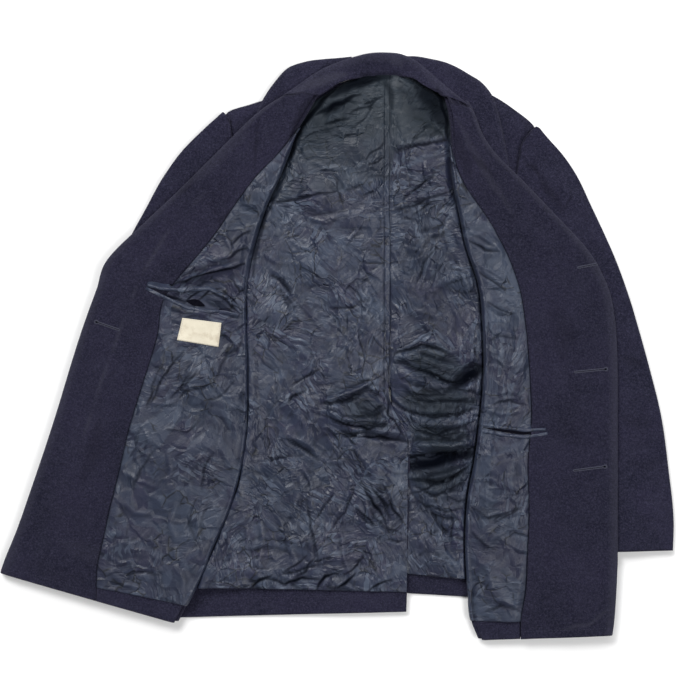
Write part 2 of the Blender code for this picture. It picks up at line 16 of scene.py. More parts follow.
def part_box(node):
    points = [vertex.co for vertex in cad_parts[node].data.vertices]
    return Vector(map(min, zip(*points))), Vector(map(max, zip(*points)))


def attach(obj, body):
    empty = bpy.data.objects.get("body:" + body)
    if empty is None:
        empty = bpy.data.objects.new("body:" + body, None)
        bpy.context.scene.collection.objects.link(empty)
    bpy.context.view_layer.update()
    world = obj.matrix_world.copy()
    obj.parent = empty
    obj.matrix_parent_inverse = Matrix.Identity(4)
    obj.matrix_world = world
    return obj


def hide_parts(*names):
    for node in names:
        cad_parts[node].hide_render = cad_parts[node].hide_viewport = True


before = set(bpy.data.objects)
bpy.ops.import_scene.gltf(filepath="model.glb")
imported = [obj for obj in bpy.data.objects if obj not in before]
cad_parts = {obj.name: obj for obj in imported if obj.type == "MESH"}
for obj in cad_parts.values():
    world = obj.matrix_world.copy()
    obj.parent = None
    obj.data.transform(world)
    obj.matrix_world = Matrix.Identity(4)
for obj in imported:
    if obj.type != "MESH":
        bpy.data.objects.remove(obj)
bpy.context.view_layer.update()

MM = 0.001

# The photograph's frame: millimetres for a pixel, and its middle.
PIXEL = 1.42
MIDDLE = (337.5, 344.5)

# Cloth, as in the part.
WOOL = 2.4
FACING = 2.2
LINING = 1.1
COLLAR = 3.0
SEAM = 0.3
FOLD_GAP = 0.9
FOLD_REACH = 4.0
EDGE_REACH = 4.5
EDGE_TURN = 7.0
LINING_INSET = FOLD_REACH + LINING + FOLD_GAP
LINING_WRAP = 22.0
ROLL_REACH = 7.0
HEM_TURN = 40.0
# A jet's strip goes on under the lining.
JET_TAIL = 5.0
JET_SINK = 1.6
# The stand is the highest wool, so its plan is drawn in by this share.
COLLAR_PULL = 0.995

# Mesh steps.
FINE = 2.2
PLAIN = 4.5
COARSE = 8.0
# The widths that set the columns of the back, and of fronts and sleeves.
BACK_WIDTH = 300
PANEL_WIDTH = 190
# Rows that a curled or lengthened edge adds to a grid.
EDGE_ROWS = 4
# How far a rolled edge turns to either side of its middle, in degrees.
ROLL_TURN = 78
# The lowest that a sheet's outer and inner skins lie.
OUTER_FLOOR = 0.1
INNER_FLOOR = 0.05
# Rounds of blur and depth in millimetres that make a place a full hollow.
HOLLOW_BLUR = 5
HOLLOW_DEPTH = 0.9
# The thinnest line that the satin's mesh can show, as a half width.
THIN_LINE = 1.8
# Stitches: pitch, half length and radius, and how far in a row lies.
STITCH_PITCH = 4.2
STITCH_HALF = 1.5
STITCH_RADIUS = 0.35
BACK_HEM_STITCHES = 23
FRONT_HEM_STITCHES = 9
LEAF_STITCHES = 6.0
# A buttonhole: radius of its eye, half width of its slot, and stitch pitch.
EYE_RADIUS = 2.3
EYE_LENGTH = 2.6
SLOT_HALF = 0.9
RIM_PITCH = 0.85
# The pockets' satin lips: distance of their rows, and thickness.
JET_PITCH = 3.0
JET_CLOTH = 0.8
# The label: thickness, and its seam as a share of the way to the corners.
LABEL_THICK = 0.5
LABEL_SEAM = 0.93
# Radii of the turned edges of the wool, the front linings and the back ones.
WOOL_CURL = 2.6
LINING_CURL = 1.8
BACK_CURL = 1.6
# The back linings' widths, the band of finer columns beside the centre seam,
# how far the left one goes past the seam and the right one under the left,
# and the height below which the vent parts them.
LINING_WIDTHS = {"left": 240, "right": 160}
SEAM_BAND = 16.0
SEAM_PAST = 1.2
SEAM_UNDER = 3.5
VENT_TOP = -60
# How far the back linings rise to the inner folds, and how much more at the
# lower left.
FOLD_LIFT = 7.0
FOLD_LIFT_LOW = 10.0
# How far the back lining's crumples take to reach their full height, and how
# far below the solid its hollows may go, for the wool lies just under it.
CRUMPLE_EDGE = 9.0
HOLLOW_FLOOR = 0.6
# The centre pleat of the lining runs here, and ends above the vent.
PLEAT_X = 75.5
PLEAT_END = (-100, -80)
# The waves of the fronts start between these distances from the shoulder.
WAVES_START = (20.0, 70.0)
# The camera looks straight down, as in the photograph.
CAMERA_PLACE = (0.0178, -0.0078, 2.362)
CAMERA_LENS = 85
FLOOR_HALF = 6
FLOOR_Z = -0.0004

# fold_x, fold_y, seam_x, seam_y, edge_x, edge_y, bound, lapel
FRONT_RIGHT = [
    (151, 349, 162, 374, 191, 336, 0.0, 26),
    (157, 326, 188, 366, 197, 322, 0.0, 30),
    (160, 295, 218, 356, 207, 296, 0.0, 34),
    (161, 262, 249, 337, 226, 269, 0.08, 44),
    (164, 226, 282, 307, 263, 232, 0.16, 64),
    (173, 184, 269, 285, 306, 187, 0.27, 70),
    (182, 141, 263, 245, 349, 141, 0.31, 54),
    (198, 92, 276, 174, 378, 94, 0.31, 20),
    (205, 38, 330, 77, 393, 38, 0.32, 7),
    (207, -40, 370, -8, 397, -36, 0.343, 7),
    (202, -103, 373, -86, 397, -107, 0.372, 7),
    (194, -164, 373, -157, 397, -178, 0.374, 7),
    (184, -221, 370, -221, 397, -242, 0.41, 7),
    (181, -290, 366, -292, 397, -306, 0.408, 7),
    (184, -349, 361, -349, 395, -363, 0.389, 7),
    (188, -392, 360, -372, 393, -394, 0.35, 7),
    (198, -418, 359, -386, 391, -410, 0.32, 7),
]
FRONT_LEFT = [
    (-28, 351, -32, 374, -80, 351, 0.0, 26),
    (-45, 322, -50, 361, -102, 337, 0.0, 30),
    (-60, 295, -90, 352, -127, 316, 0.06, 40),
    (-70, 266, -124, 342, -153, 290, 0.17, 56),
    (-83, 234, -159, 328, -190, 253, 0.29, 66),
    (-99, 200, -155, 299, -226, 217, 0.32, 70),
    (-116, 151, -147, 251, -272, 174, 0.355, 60),
    (-127, 103, -153, 188, -324, 123, 0.42, 26),
    (-129, 49, -188, 117, -342, 77, 0.547, 7),
    (-127, -8, -231, 49, -361, 26, 0.548, 7),
    (-127, -79, -238, -36, -380, -32, 0.582, 7),
    (-130, -143, -242, -107, -398, -92, 0.606, 7),
    (-141, -197, -246, -175, -417, -151, 0.6, 7),
    (-155, -242, -251, -235, -435, -204, 0.584, 7),
    (-174, -285, -255, -280, -455, -261, 0.556, 7),
    (-192, -330, -258, -326, -471, -300, 0.528, 7),
    (-224, -394, -259, -368, -479, -322, 0.46, 7),
]

# left_x, left_y, right_x, right_y
BACK_RIGHT = [
    (75, 387, 148, 372), (75, 353, 188, 366), (75, 328, 218, 356),
    (75, 305, 249, 337), (75, 282, 282, 307), (75, 255, 269, 285),
    (75, 219, 263, 245), (75, 174, 276, 174), (76, 117, 330, 77),
    (77, 49, 361, 28), (75, -31, 373, -36), (76, -93, 373, -107),
    (63, -150, 373, -157), (60, -221, 370, -221), (60, -292, 364, -292),
    (60, -350, 360, -368),
]
BACK_LEFT = [
    (-2, 372, 75, 387), (-50, 361, 75, 353), (-90, 352, 75, 328),
    (-124, 342, 75, 305), (-159, 328, 75, 282), (-155, 299, 75, 255),
    (-147, 251, 75, 219), (-153, 188, 75, 174), (-188, 117, 76, 117),
    (-231, 49, 77, 49), (-238, -36, 75, -31), (-242, -107, 76, -93),
    (-246, -150, 98, -136), (-251, -235, 101, -221), (-255, -306, 100, -306),
    (-259, -388, 98, -378),
]
LINING_BACK_LEFT = [
    (6, 370, 73, 386), (-31, 347, 73, 361), (-70, 312, 73, 322),
    (-110, 262, 73, 269), (-137, 205, 73, 205), (-160, 134, 75, 134),
    (-174, 63, 76, 63), (-177, -8, 73, -8), (-177, -72, 73, -76),
    (-180, -136, 97, -133), (-191, -192, 99, -192), (-204, -242, 98, -249),
    (-224, -292, 98, -299), (-241, -343, 97, -350),
]
LINING_BACK_RIGHT = [
    (76, 386, 137, 370), (76, 354, 177, 342), (76, 319, 205, 302),
    (76, 269, 211, 255), (76, 205, 219, 198), (78, 134, 235, 134),
    (79, 63, 252, 63), (76, -8, 256, -8), (76, -72, 255, -79),
    (84, -136, 248, -136), (86, -192, 238, -192), (86, -249, 232, -249),
    (86, -290, 231, -296), (86, -324, 231, -336),
]

# roll_x, roll_y, foot_x, foot_y, fall, lift
COLLAR_ROLL = [
    (-78, 355, -33, 357, 10, 1.0),
    (-59, 368, -22, 357, 10, 1.0),
    (-38, 383, -11, 364, 10, 1.0),
    (-14, 397, 1, 372, 12, 1.0),
    (7, 406, 13, 377, 12, 1.0),
    (28, 413, 30, 381, 20, 0.0),
    (46, 417, 48, 383, 70, 0.0),
    (70, 418, 70, 383, 78, 0.0),
    (93, 415, 94, 383, 12, 0.0),
    (111, 406, 109, 379, 12, 1.0),
    (128, 392, 119, 372, 10, 1.0),
    (146, 376, 131, 365, 10, 1.0),
    (165, 360, 142, 360, 10, 1.0),
    (187, 341, 152, 355, 10, 1.0),
]
# inner_x, inner_y, outer_x, outer_y
LEAF_RIGHT = [
    (98, 382, 88, 410),
    (114, 380, 110, 411),
    (131, 374, 133, 407),
    (146, 366, 153, 402),
    (160, 355, 171, 394),
    (170, 343, 188, 384),
    (178, 330, 205, 373),
    (184, 316, 222, 351),
    (188, 302, 229, 329),
    (194, 282, 238, 290),
    (204, 258, 245, 253),
]
LEAF_LEFT = [
    (-100, 284, -138, 299),
    (-90, 304, -119, 322),
    (-78, 324, -107, 347),
    (-66, 344, -92, 370),
    (-55, 358, -70, 394),
    (-42, 369, -46, 403),
    (-22, 378, -21, 407),
    (-4, 380, 0, 409),
    (12, 382, 20, 411),
]
# body_x, body_y, outer_x, outer_y
SLEEVE_RIGHT = [
    (282, 310, 289, 306), (270, 299, 301, 292), (261, 283, 320, 271),
    (257, 262, 341, 240),
    (255, 241, 360, 200), (245, 184, 383, 151), (235, 120, 403, 103),
    (231, 49, 420, 52), (239, -29, 442, -25), (259, -107, 461, -102),
    (285, -185, 472, -181), (309, -256, 479, -255), (324, -296, 478, -293),
]
SLEEVE_LEFT = [
    (-153, 321, -163, 331), (-150, 299, -191, 306), (-144, 273, -221, 276),
    (-140, 245, -244, 245), (-137, 198, -273, 194), (-138, 134, -300, 143),
    (-147, 56, -323, 75), (-164, -22, -342, -1), (-185, -107, -360, -82),
    (-207, -185, -376, -161), (-226, -256, -387, -235),
    (-236, -289, -391, -279),
]
BUTTONS = {
    "button_right_1": (268, 103), "button_right_2": (271, -40),
    "button_right_3": (271, -184), "button_left_1": (-192, 117),
    "button_left_2": (-236, -11), "button_left_3": (-282, -143),
}

# Creases, listed in the photograph's frame: the path, the half width and the
# height in millimetres (a trough where it is below zero), and how far the
# crease leans to its left side (1) or its right side (-1).
# path, half_width, height, lean
CREASES_BACK_RIGHT = [
    ([(398, 345), (420, 336), (446, 346)], 5, 2.5, 0.2),
    ([(394, 354), (410, 350), (422, 344), (434, 348), (450, 354)],
     2.2, -2.6, 0),
    ([(397, 357), (420, 357), (445, 366), (462, 374)], 7, 6.5, -0.3),
    ([(395, 361), (427, 373), (447, 382), (463, 385), (480, 377)],
     3, -3.6, 0),
    ([(455, 383), (468, 375), (480, 365)], 9, -8.0, 0),
    ([(396, 370), (420, 381), (442, 389)], 6, 4.6, 0.4),
    ([(443, 391), (457, 389), (477, 392)], 2.4, -2.2, 0),
    ([(446, 397), (460, 397), (478, 398)], 3, 2.4, 0.2),
    ([(402, 380), (414, 392), (432, 396)], 4, 2.6, 0.3),
    ([(412, 399), (430, 402), (452, 400), (476, 403)], 1.8, -1.6, 0),
    ([(390, 399), (400, 407), (412, 412), (433, 417), (456, 414),
      (477, 409)], 2.4, -3.0, 0),
    ([(414, 424), (440, 426), (474, 419)], 5, 5.0, 0.3),
    ([(416, 431), (436, 436), (452, 428)], 2, -1.8, 0),
    ([(452, 438), (462, 432), (474, 434)], 3, 2.2, 0.3),
    ([(424, 404), (434, 412), (446, 406)], 4, 2.4, 0.5),
    ([(448, 420), (456, 412), (470, 400)], 4, 2.6, -0.5),
    ([(411, 446), (432, 443), (452, 446), (474, 441)], 6, 11.5, -0.3),
    ([(411, 463), (430, 460), (450, 457), (472, 452)], 9, -9.0, 0),
    ([(411, 479), (436, 478), (460, 470), (474, 460)], 4.5, 6.0, 0.3),
    ([(433, 485), (450, 478), (470, 465)], 2.4, -2.8, 0),
    ([(428, 493), (446, 488), (470, 476)], 4, 3.0, 0.2),
    ([(411, 486), (430, 494), (444, 498)], 2.2, -1.6, 0),
    ([(428, 500), (442, 496), (466, 494)], 3, 2.2, -0.5),
    ([(424, 506), (446, 512), (466, 507)], 2, -1.6, 0),
    ([(425, 503), (436, 520), (450, 539)], 2.4, -1.8, 0.5),
    ([(452, 512), (452, 530), (451, 546)], 1.8, -1.8, 0),
    ([(411, 560), (424, 548), (420, 536)], 3, 1.2, 0.5),
    ([(440, 548), (452, 560), (458, 570)], 3, 1.2, 0.5),
    ([(396, 151), (420, 144), (448, 139)], 2.2, -1.4, 0),
    ([(395, 147), (420, 140), (446, 135)], 4, 1.2, 0.4),
    ([(402, 200), (414, 190), (436, 172)], 2.2, -1.4, 0.5),
    ([(398, 192), (412, 182), (444, 160)], 2.6, 1.4, 0.5),
    ([(402, 207), (420, 200), (446, 192)], 2.4, -1.2, 0),
    ([(424, 220), (428, 206), (440, 200)], 4, 1.6, 0.5),
    ([(415, 236), (440, 232), (454, 222)], 4, 1.8, 0.5),
    ([(414, 262), (424, 240), (446, 226)], 3, 1.8, -0.5),
    ([(416, 290), (424, 262), (440, 244)], 2.4, -1.4, 0.5),
    ([(430, 300), (436, 280), (446, 262)], 3, 1.2, -0.5),
    ([(404, 290), (402, 260), (408, 244)], 3, 1.0, 0.5),
    ([(454, 250), (462, 270), (470, 300)], 4, 1.6, 0.5),
    ([(398, 320), (416, 312), (440, 318)], 4, 1.4, 0.5),
    ([(412, 108), (430, 96), (446, 112)], 4, 1.4, 0.6),
    ([(412, 108), (428, 109), (446, 105)], 1.8, -1.0, 0),
    ([(398, 226), (404, 214), (402, 200)], 2.6, 1.0, 0.5),
]
CREASES_BACK_LEFT = [
    ([(320, 400), (340, 396), (360, 388), (378, 378)], 4, 5.0, 0.5),
    ([(322, 403), (342, 402), (360, 397)], 2.2, -1.8, 0),
    ([(326, 410), (343, 417), (366, 421), (385, 420)], 3.4, 5.0, -0.5),
    ([(336, 415), (356, 424), (386, 425)], 2.2, -2.4, 0),
    ([(340, 429), (366, 430), (386, 431), (406, 435)], 4, 4.6, 0.4),
    ([(344, 436), (370, 436), (406, 441)], 2.2, -2.2, 0),
    ([(352, 402), (368, 398), (386, 408)], 5, 2.6, 0.3),
    ([(356, 408), (372, 412), (384, 404)], 3, -1.8, 0),
    ([(364, 385), (378, 390), (386, 398)], 3, 2.2, 0.5),
    ([(360, 382), (374, 380), (384, 372)], 2.2, -1.4, 0),
    ([(287, 434), (304, 442), (320, 456)], 3, 2.2, 0.7),
    ([(286, 438), (302, 448), (318, 460)], 2, -1.6, 0),
    ([(320, 458), (338, 462), (352, 446)], 2.6, 1.8, -0.5),
    ([(293, 384), (304, 378), (314, 373)], 1.8, -1.4, 0),
    ([(285, 404), (294, 398), (302, 392)], 1.8, -1.4, 0),
    ([(374, 490), (384, 506), (390, 520)], 2.4, -1.8, 0.4),
    ([(364, 492), (372, 512), (388, 538)], 2.6, -2.0, 0.4),
    ([(362, 488), (376, 520), (390, 542)], 4, 2.2, -0.5),
    ([(384, 480), (392, 500), (402, 520)], 3, 1.6, 0.5),
    ([(354, 510), (366, 520), (374, 526)], 2.2, -1.4, 0),
    ([(330, 524), (344, 506), (352, 480)], 2.6, 1.6, 0.5),
    ([(332, 528), (346, 512), (354, 490)], 2, -1.4, 0),
    ([(316, 520), (328, 502), (334, 494)], 2, -1.4, 0),
    ([(302, 490), (310, 530), (316, 564)], 2.6, 1.8, 0.5),
    ([(306, 500), (312, 540), (318, 566)], 2, -1.6, 0),
    ([(270, 500), (284, 530), (296, 560)], 3, 1.6, -0.5),
    ([(256, 500), (262, 540), (258, 580)], 2.6, 1.2, 0.5),
    ([(280, 574), (298, 572), (316, 566)], 2, -1.8, 0),
    ([(276, 570), (290, 580), (312, 590)], 3.4, 2.4, 0.5),
    ([(248, 581), (268, 579), (282, 582)], 2.2, -1.6, 0),
    ([(330, 586), (344, 584), (354, 588)], 3, 2.2, 0.5),
    ([(338, 520), (344, 556), (350, 580)], 2.6, 1.4, 0.5),
    ([(386, 540), (398, 542), (406, 540)], 2, -1.4, 0),
    ([(336, 560), (352, 556), (366, 562)], 3, 1.4, 0.4),
    ([(272, 202), (300, 198), (330, 192)], 2, -1.6, 0),
    ([(272, 206), (300, 203), (334, 195)], 4, 1.4, -0.4),
    ([(334, 170), (346, 186), (356, 180)], 3, 1.6, 0.5),
    ([(368, 164), (378, 162), (384, 156)], 1.8, -1.6, 0),
    ([(370, 172), (374, 160), (382, 146)], 3, 1.4, 0.5),
    ([(352, 128), (366, 118), (374, 104)], 1.8, -1.2, 0),
    ([(326, 124), (340, 121), (350, 118)], 1.6, -1.4, 0),
    ([(364, 104), (372, 100), (378, 96)], 2, -2.0, 0),
    ([(344, 103), (336, 110), (322, 118)], 3, -2.2, 0.5),
    ([(344, 250), (352, 236), (366, 216)], 2.2, 1.2, 0.5),
    ([(360, 260), (372, 262), (388, 264)], 1.8, -1.0, 0),
    ([(330, 308), (352, 308), (370, 298)], 2.2, -1.2, 0),
    ([(336, 300), (348, 284), (358, 276)], 3, 1.4, 0.6),
    ([(364, 318), (372, 300), (366, 286)], 2.6, 1.2, 0.5),
    ([(268, 282), (282, 288), (300, 310)], 3, 1.8, 0.5),
    ([(270, 274), (284, 280), (292, 296)], 2, -1.6, 0),
    ([(288, 290), (306, 310), (322, 330)], 2.6, 1.2, 0.5),
    ([(262, 252), (276, 262), (290, 262)], 3, 1.2, 0.5),
    ([(288, 236), (298, 246), (312, 250)], 3, 1.2, 0.4),
    ([(300, 216), (322, 222), (340, 216)], 3, 1.4, 0.5),
    ([(310, 160), (328, 168), (342, 166)], 4, 1.4, 0.4),
    ([(262, 330), (268, 352), (278, 366)], 3, 1.2, 0.4),
    ([(300, 340), (312, 350), (318, 366)], 3, 1.2, 0.4),
    ([(346, 330), (350, 350), (344, 366)], 3, 1.2, 0.4),
    ([(262, 440), (272, 466), (270, 490)], 3, 1.2, -0.4),
    ([(296, 462), (310, 478), (300, 490)], 3, 1.2, -0.4),
]
CREASES_FRONT_LEFT = [
    ([(163, 287), (188, 281), (220, 268), (250, 262)], 6, 6.0, -0.7),
    ([(178, 278), (200, 270), (232, 262)], 4, -2.6, 0.3),
    ([(152, 282), (170, 280), (190, 274)], 4, 2.4, 0.3),
    ([(212, 296), (226, 306), (244, 316)], 4, 3.4, 0.5),
    ([(206, 300), (222, 312), (238, 318)], 2.4, -2.0, 0),
    ([(170, 308), (184, 312), (206, 314)], 5, 3.0, 0.4),
    ([(240, 260), (244, 240), (252, 226)], 4, 2.0, 0.5),
    ([(236, 252), (226, 238), (228, 226)], 3, 1.8, 0.4),
    ([(262, 218), (266, 204), (276, 186)], 3, 1.4, 0.5),
    ([(222, 330), (236, 344), (244, 362)], 3.4, 2.0, 0.5),
    ([(228, 356), (238, 348), (246, 336)], 2.4, -1.6, 0),
    ([(176, 352), (166, 366), (160, 384)], 3, 1.6, 0.5),
    ([(198, 352), (190, 376), (170, 396)], 3, 1.6, -0.5),
    ([(186, 396), (166, 404), (148, 402)], 3, 1.8, 0.5),
    ([(172, 406), (186, 392), (206, 388)], 2, -1.4, 0),
    ([(210, 384), (228, 396), (244, 398)], 3, 1.6, 0.5),
    ([(236, 380), (226, 392), (210, 400)], 2, -1.2, 0),
    ([(202, 420), (188, 430), (166, 428)], 2.6, 1.6, 0.4),
    ([(140, 424), (150, 440), (146, 462)], 3, 1.4, 0.5),
    ([(226, 420), (220, 446), (234, 470)], 3, 1.6, 0.5),
    ([(204, 452), (190, 470), (192, 492)], 3, 1.8, -0.5),
    ([(168, 450), (172, 470), (160, 490)], 2.4, 1.4, 0.5),
    ([(126, 470), (140, 482), (158, 486)], 2.6, 1.6, 0.5),
    ([(122, 500), (136, 512), (154, 512)], 3, 1.6, 0.5),
    ([(178, 500), (170, 520), (176, 540)], 3, 1.8, 0.5),
    ([(206, 500), (198, 524), (204, 548)], 3, 1.6, -0.5),
    ([(150, 530), (136, 542), (120, 540)], 3, 1.6, 0.5),
    ([(106, 552), (122, 562), (140, 560)], 3, 1.8, 0.5),
    ([(112, 572), (126, 584), (140, 586)], 3, 2.0, 0.4),
    ([(152, 560), (160, 578), (156, 594)], 3, 1.8, 0.5),
    ([(176, 566), (184, 580), (182, 598)], 3, 1.6, -0.5),
    ([(132, 572), (146, 570), (160, 574)], 2, -1.4, 0),
    ([(154, 452), (140, 470), (134, 488)], 2, -1.2, 0),
    ([(214, 452), (204, 470), (202, 490)], 2, -1.4, 0),
]
CREASES_FRONT_RIGHT = [
    ([(462, 176), (474, 196), (484, 206)], 3, 1.4, 0.5),
    ([(466, 232), (480, 236), (496, 246)], 3, 2.0, 0.5),
    ([(468, 240), (484, 250), (498, 252)], 2, -1.6, 0),
    ([(474, 266), (490, 270), (506, 282)], 3, 2.0, 0.5),
    ([(478, 272), (492, 280), (504, 290)], 2, -1.6, 0),
    ([(484, 300), (498, 310), (514, 312)], 3, 1.8, -0.5),
    ([(486, 340), (500, 332), (518, 336)], 3, 1.6, 0.5),
    ([(490, 356), (506, 366), (520, 364)], 2.4, 1.6, 0.5),
    ([(490, 398), (508, 392), (526, 396)], 3, 1.8, 0.5),
    ([(492, 404), (508, 400), (524, 404)], 2, -1.4, 0),
    ([(484, 410), (500, 414), (520, 410)], 3, 1.6, 0.5),
    ([(476, 450), (492, 456), (512, 450)], 3, 1.4, 0.5),
    ([(470, 480), (488, 478), (500, 486)], 2.6, 1.6, 0.5),
    ([(476, 492), (492, 500), (514, 496)], 3, 1.6, -0.5),
    ([(470, 506), (486, 516), (506, 512)], 2.6, 1.6, 0.5),
    ([(494, 520), (506, 512), (520, 508)], 2, -1.6, 0),
    ([(472, 530), (480, 542), (496, 548)], 3, 1.8, 0.5),
    ([(490, 540), (506, 530), (520, 528)], 2.4, 1.4, 0.5),
    ([(470, 556), (486, 566), (492, 586)], 3, 2.0, 0.5),
    ([(494, 572), (510, 580), (522, 582)], 3, 1.6, 0.4),
    ([(474, 592), (490, 600), (510, 598)], 3, 1.8, 0.4),
    ([(486, 610), (500, 604), (518, 608)], 2, -1.4, 0),
]
# Wear and dents in the wool of the fronts.
CREASES_WOOL_LEFT = [
    ([(212, 187), (166, 236), (140, 280), (124, 321), (101, 385), (81, 449)],
     3, -0.5, 0),
    ([(171, 212), (178, 236), (168, 262)], 9, -1.4, 0),
    ([(188, 206), (200, 222), (196, 250)], 10, 1.8, 0.3),
    ([(170, 262), (186, 250), (206, 246)], 6, 1.4, 0.4),
    ([(282, 96), (298, 94), (313, 95)], 2, -0.6, 0),
    ([(259, 119), (256, 146), (254, 172)], 2.4, -0.6, 0),
    ([(128, 322), (140, 330), (150, 352)], 9, 1.0, 0),
    ([(60, 470), (84, 476), (106, 470)], 14, 1.4, 0),
    ([(24, 560), (60, 566), (92, 560)], 12, 1.2, 0),
    ([(50, 520), (70, 500), (96, 496)], 12, 1.2, 0),
]
CREASES_WOOL_RIGHT = [
    ([(472, 108), (453, 104), (444, 98)], 2, -0.6, 0),
    ([(452, 118), (480, 150), (498, 190)], 8, 1.4, 0.3),
    ([(520, 220), (536, 240), (560, 250)], 10, 1.2, 0.3),
    ([(536, 330), (560, 326), (596, 334)], 12, 1.2, 0.2),
    ([(540, 420), (566, 426), (600, 420)], 12, 1.0, 0.2),
    ([(536, 520), (560, 512), (596, 516)], 14, 1.2, 0.2),
    ([(540, 590), (570, 580), (600, 590)], 10, 1.0, 0.2),
    ([(560, 266), (566, 276), (574, 282)], 6, 0.8, 0.2),
]
CREASES_SLEEVE_RIGHT = [
    ([(556, 180), (574, 200), (590, 214)], 8, 2.0, 0.3),
    ([(590, 236), (600, 250), (614, 254)], 8, 2.2, 0.3),
    ([(618, 290), (626, 300), (632, 316)], 8, 2.4, 0.3),
    ([(622, 340), (634, 352), (640, 368)], 7, -1.6, 0),
    ([(620, 400), (640, 396), (654, 404)], 9, 2.4, 0.3),
    ([(622, 440), (640, 450), (660, 446)], 8, -1.6, 0),
    ([(624, 480), (644, 474), (664, 482)], 10, 2.2, 0.3),
    ([(628, 520), (650, 514), (670, 520)], 9, 1.8, 0.3),
]
CREASES_SLEEVE_LEFT = [
    ([(200, 140), (186, 156), (170, 164)], 8, 1.8, 0.3),
    ([(168, 176), (160, 190), (150, 200)], 8, 1.8, 0.3),
    ([(222, 120), (212, 136), (206, 150)], 6, -1.2, 0),
]

# Deep shade in hollows and along folds.
# path, half_width, depth
SHADES_BACK = [
    ([(345, 80), (330, 92), (318, 106), (306, 120), (296, 136), (286, 160),
      (276, 190)], 4.5, 0.95),
    ([(330, 96), (352, 84), (372, 78), (392, 76)], 9, 0.95),
    ([(316, 114), (336, 104), (354, 96)], 5, 1.0),
    ([(334, 106), (346, 98), (360, 94)], 3, 0.9),
    ([(326, 124), (340, 120), (349, 118)], 1.5, 0.8),
    ([(350, 113), (368, 106), (382, 96)], 2.0, 0.7),
    ([(424, 78), (438, 94), (446, 116), (449, 142)], 4.2, 0.95),
    ([(414, 82), (428, 94), (438, 110), (442, 126)], 14, 0.75),
    ([(449, 142), (456, 180), (464, 230), (474, 280), (482, 320),
      (484, 380), (480, 430)], 1.4, 0.5),
    ([(274, 196), (264, 222), (254, 256), (251, 280)], 3.0, 0.6),
    ([(395, 354), (410, 350), (422, 344), (434, 348), (448, 353)], 2.2, 0.95),
    ([(395, 361), (412, 366), (427, 372), (447, 381), (463, 385),
      (478, 378)], 2.4, 1.0),
    ([(444, 392), (458, 385), (470, 376), (492, 360)], 9.5, 1.0),
    ([(404, 390), (424, 396), (446, 394)], 2.0, 0.6),
    ([(416, 432), (440, 436), (474, 430)], 2.0, 0.7),
    ([(384, 78), (391, 90), (393, 108)], 6, 0.5),
    ([(443, 391), (457, 389), (477, 392)], 2.0, 0.85),
    ([(390, 399), (400, 407), (412, 412), (433, 417), (456, 414),
      (477, 409)], 2.0, 0.85),
    ([(412, 399), (430, 402), (452, 400), (476, 403)], 1.5, 0.7),
    ([(433, 485), (450, 478), (470, 464)], 2.0, 0.95),
    ([(411, 493), (428, 489), (440, 482)], 1.6, 0.8),
    ([(418, 502), (426, 508), (434, 506)], 1.5, 0.8),
    ([(446, 496), (458, 501), (468, 498)], 1.5, 0.7),
    ([(320, 404), (340, 400), (360, 394), (373, 383)], 2.2, 0.85),
    ([(325, 415), (343, 423), (367, 428), (385, 426)], 2.6, 1.0),
    ([(360, 411), (374, 414), (385, 408)], 4.0, 0.75),
    ([(343, 433), (367, 436), (387, 438), (409, 441)], 2.6, 1.0),
    ([(387, 396), (389, 414), (404, 436)], 1.6, 0.85),
    ([(364, 488), (374, 504), (386, 522)], 2.6, 1.0),
    ([(370, 484), (380, 498), (388, 508)], 2.2, 0.9),
    ([(355, 508), (366, 516), (374, 526)], 2.2, 0.95),
    ([(386, 498), (394, 510), (403, 522)], 2.2, 0.9),
    ([(382, 524), (390, 530), (402, 534)], 1.8, 0.7),
    ([(250, 588), (260, 580), (272, 576)], 2.4, 0.95),
    ([(274, 580), (286, 584), (302, 577), (320, 580)], 2.8, 1.0),
    ([(284, 572), (296, 566), (306, 556)], 2.0, 0.8),
    ([(316, 590), (325, 576), (340, 572)], 2.6, 1.0),
    ([(334, 590), (346, 583), (355, 574)], 2.6, 1.0),
    ([(370, 591), (378, 583), (392, 580)], 2.2, 0.95),
    ([(294, 578), (306, 570), (314, 558)], 1.8, 0.8),
    ([(344, 574), (358, 566), (364, 554)], 1.8, 0.8),
    ([(306, 500), (312, 530), (318, 562)], 1.8, 0.7),
    ([(200, 589), (230, 592), (262, 590)], 2.4, 0.8),
    ([(270, 275), (280, 281), (290, 294)], 1.4, 0.85),
    ([(288, 400), (296, 395), (304, 391)], 1.4, 0.8),
    ([(300, 378), (310, 373), (320, 370)], 1.3, 0.6),
    ([(286, 437), (304, 448), (318, 460)], 1.5, 0.7),
    ([(398, 208), (412, 206), (426, 200), (446, 192)], 1.5, 0.8),
    ([(404, 198), (416, 188), (434, 174)], 1.5, 0.85),
    ([(414, 214), (424, 206), (440, 200)], 1.4, 0.7),
    ([(396, 152), (410, 146), (430, 143), (448, 139)], 1.4, 0.8),
    ([(366, 160), (374, 150), (384, 142)], 1.3, 0.7),
    ([(372, 175), (384, 176), (394, 174)], 1.3, 0.6),
    ([(278, 202), (300, 198), (318, 194), (338, 190)], 1.3, 0.8),
    ([(336, 178), (338, 190), (342, 202)], 1.2, 0.6),
]
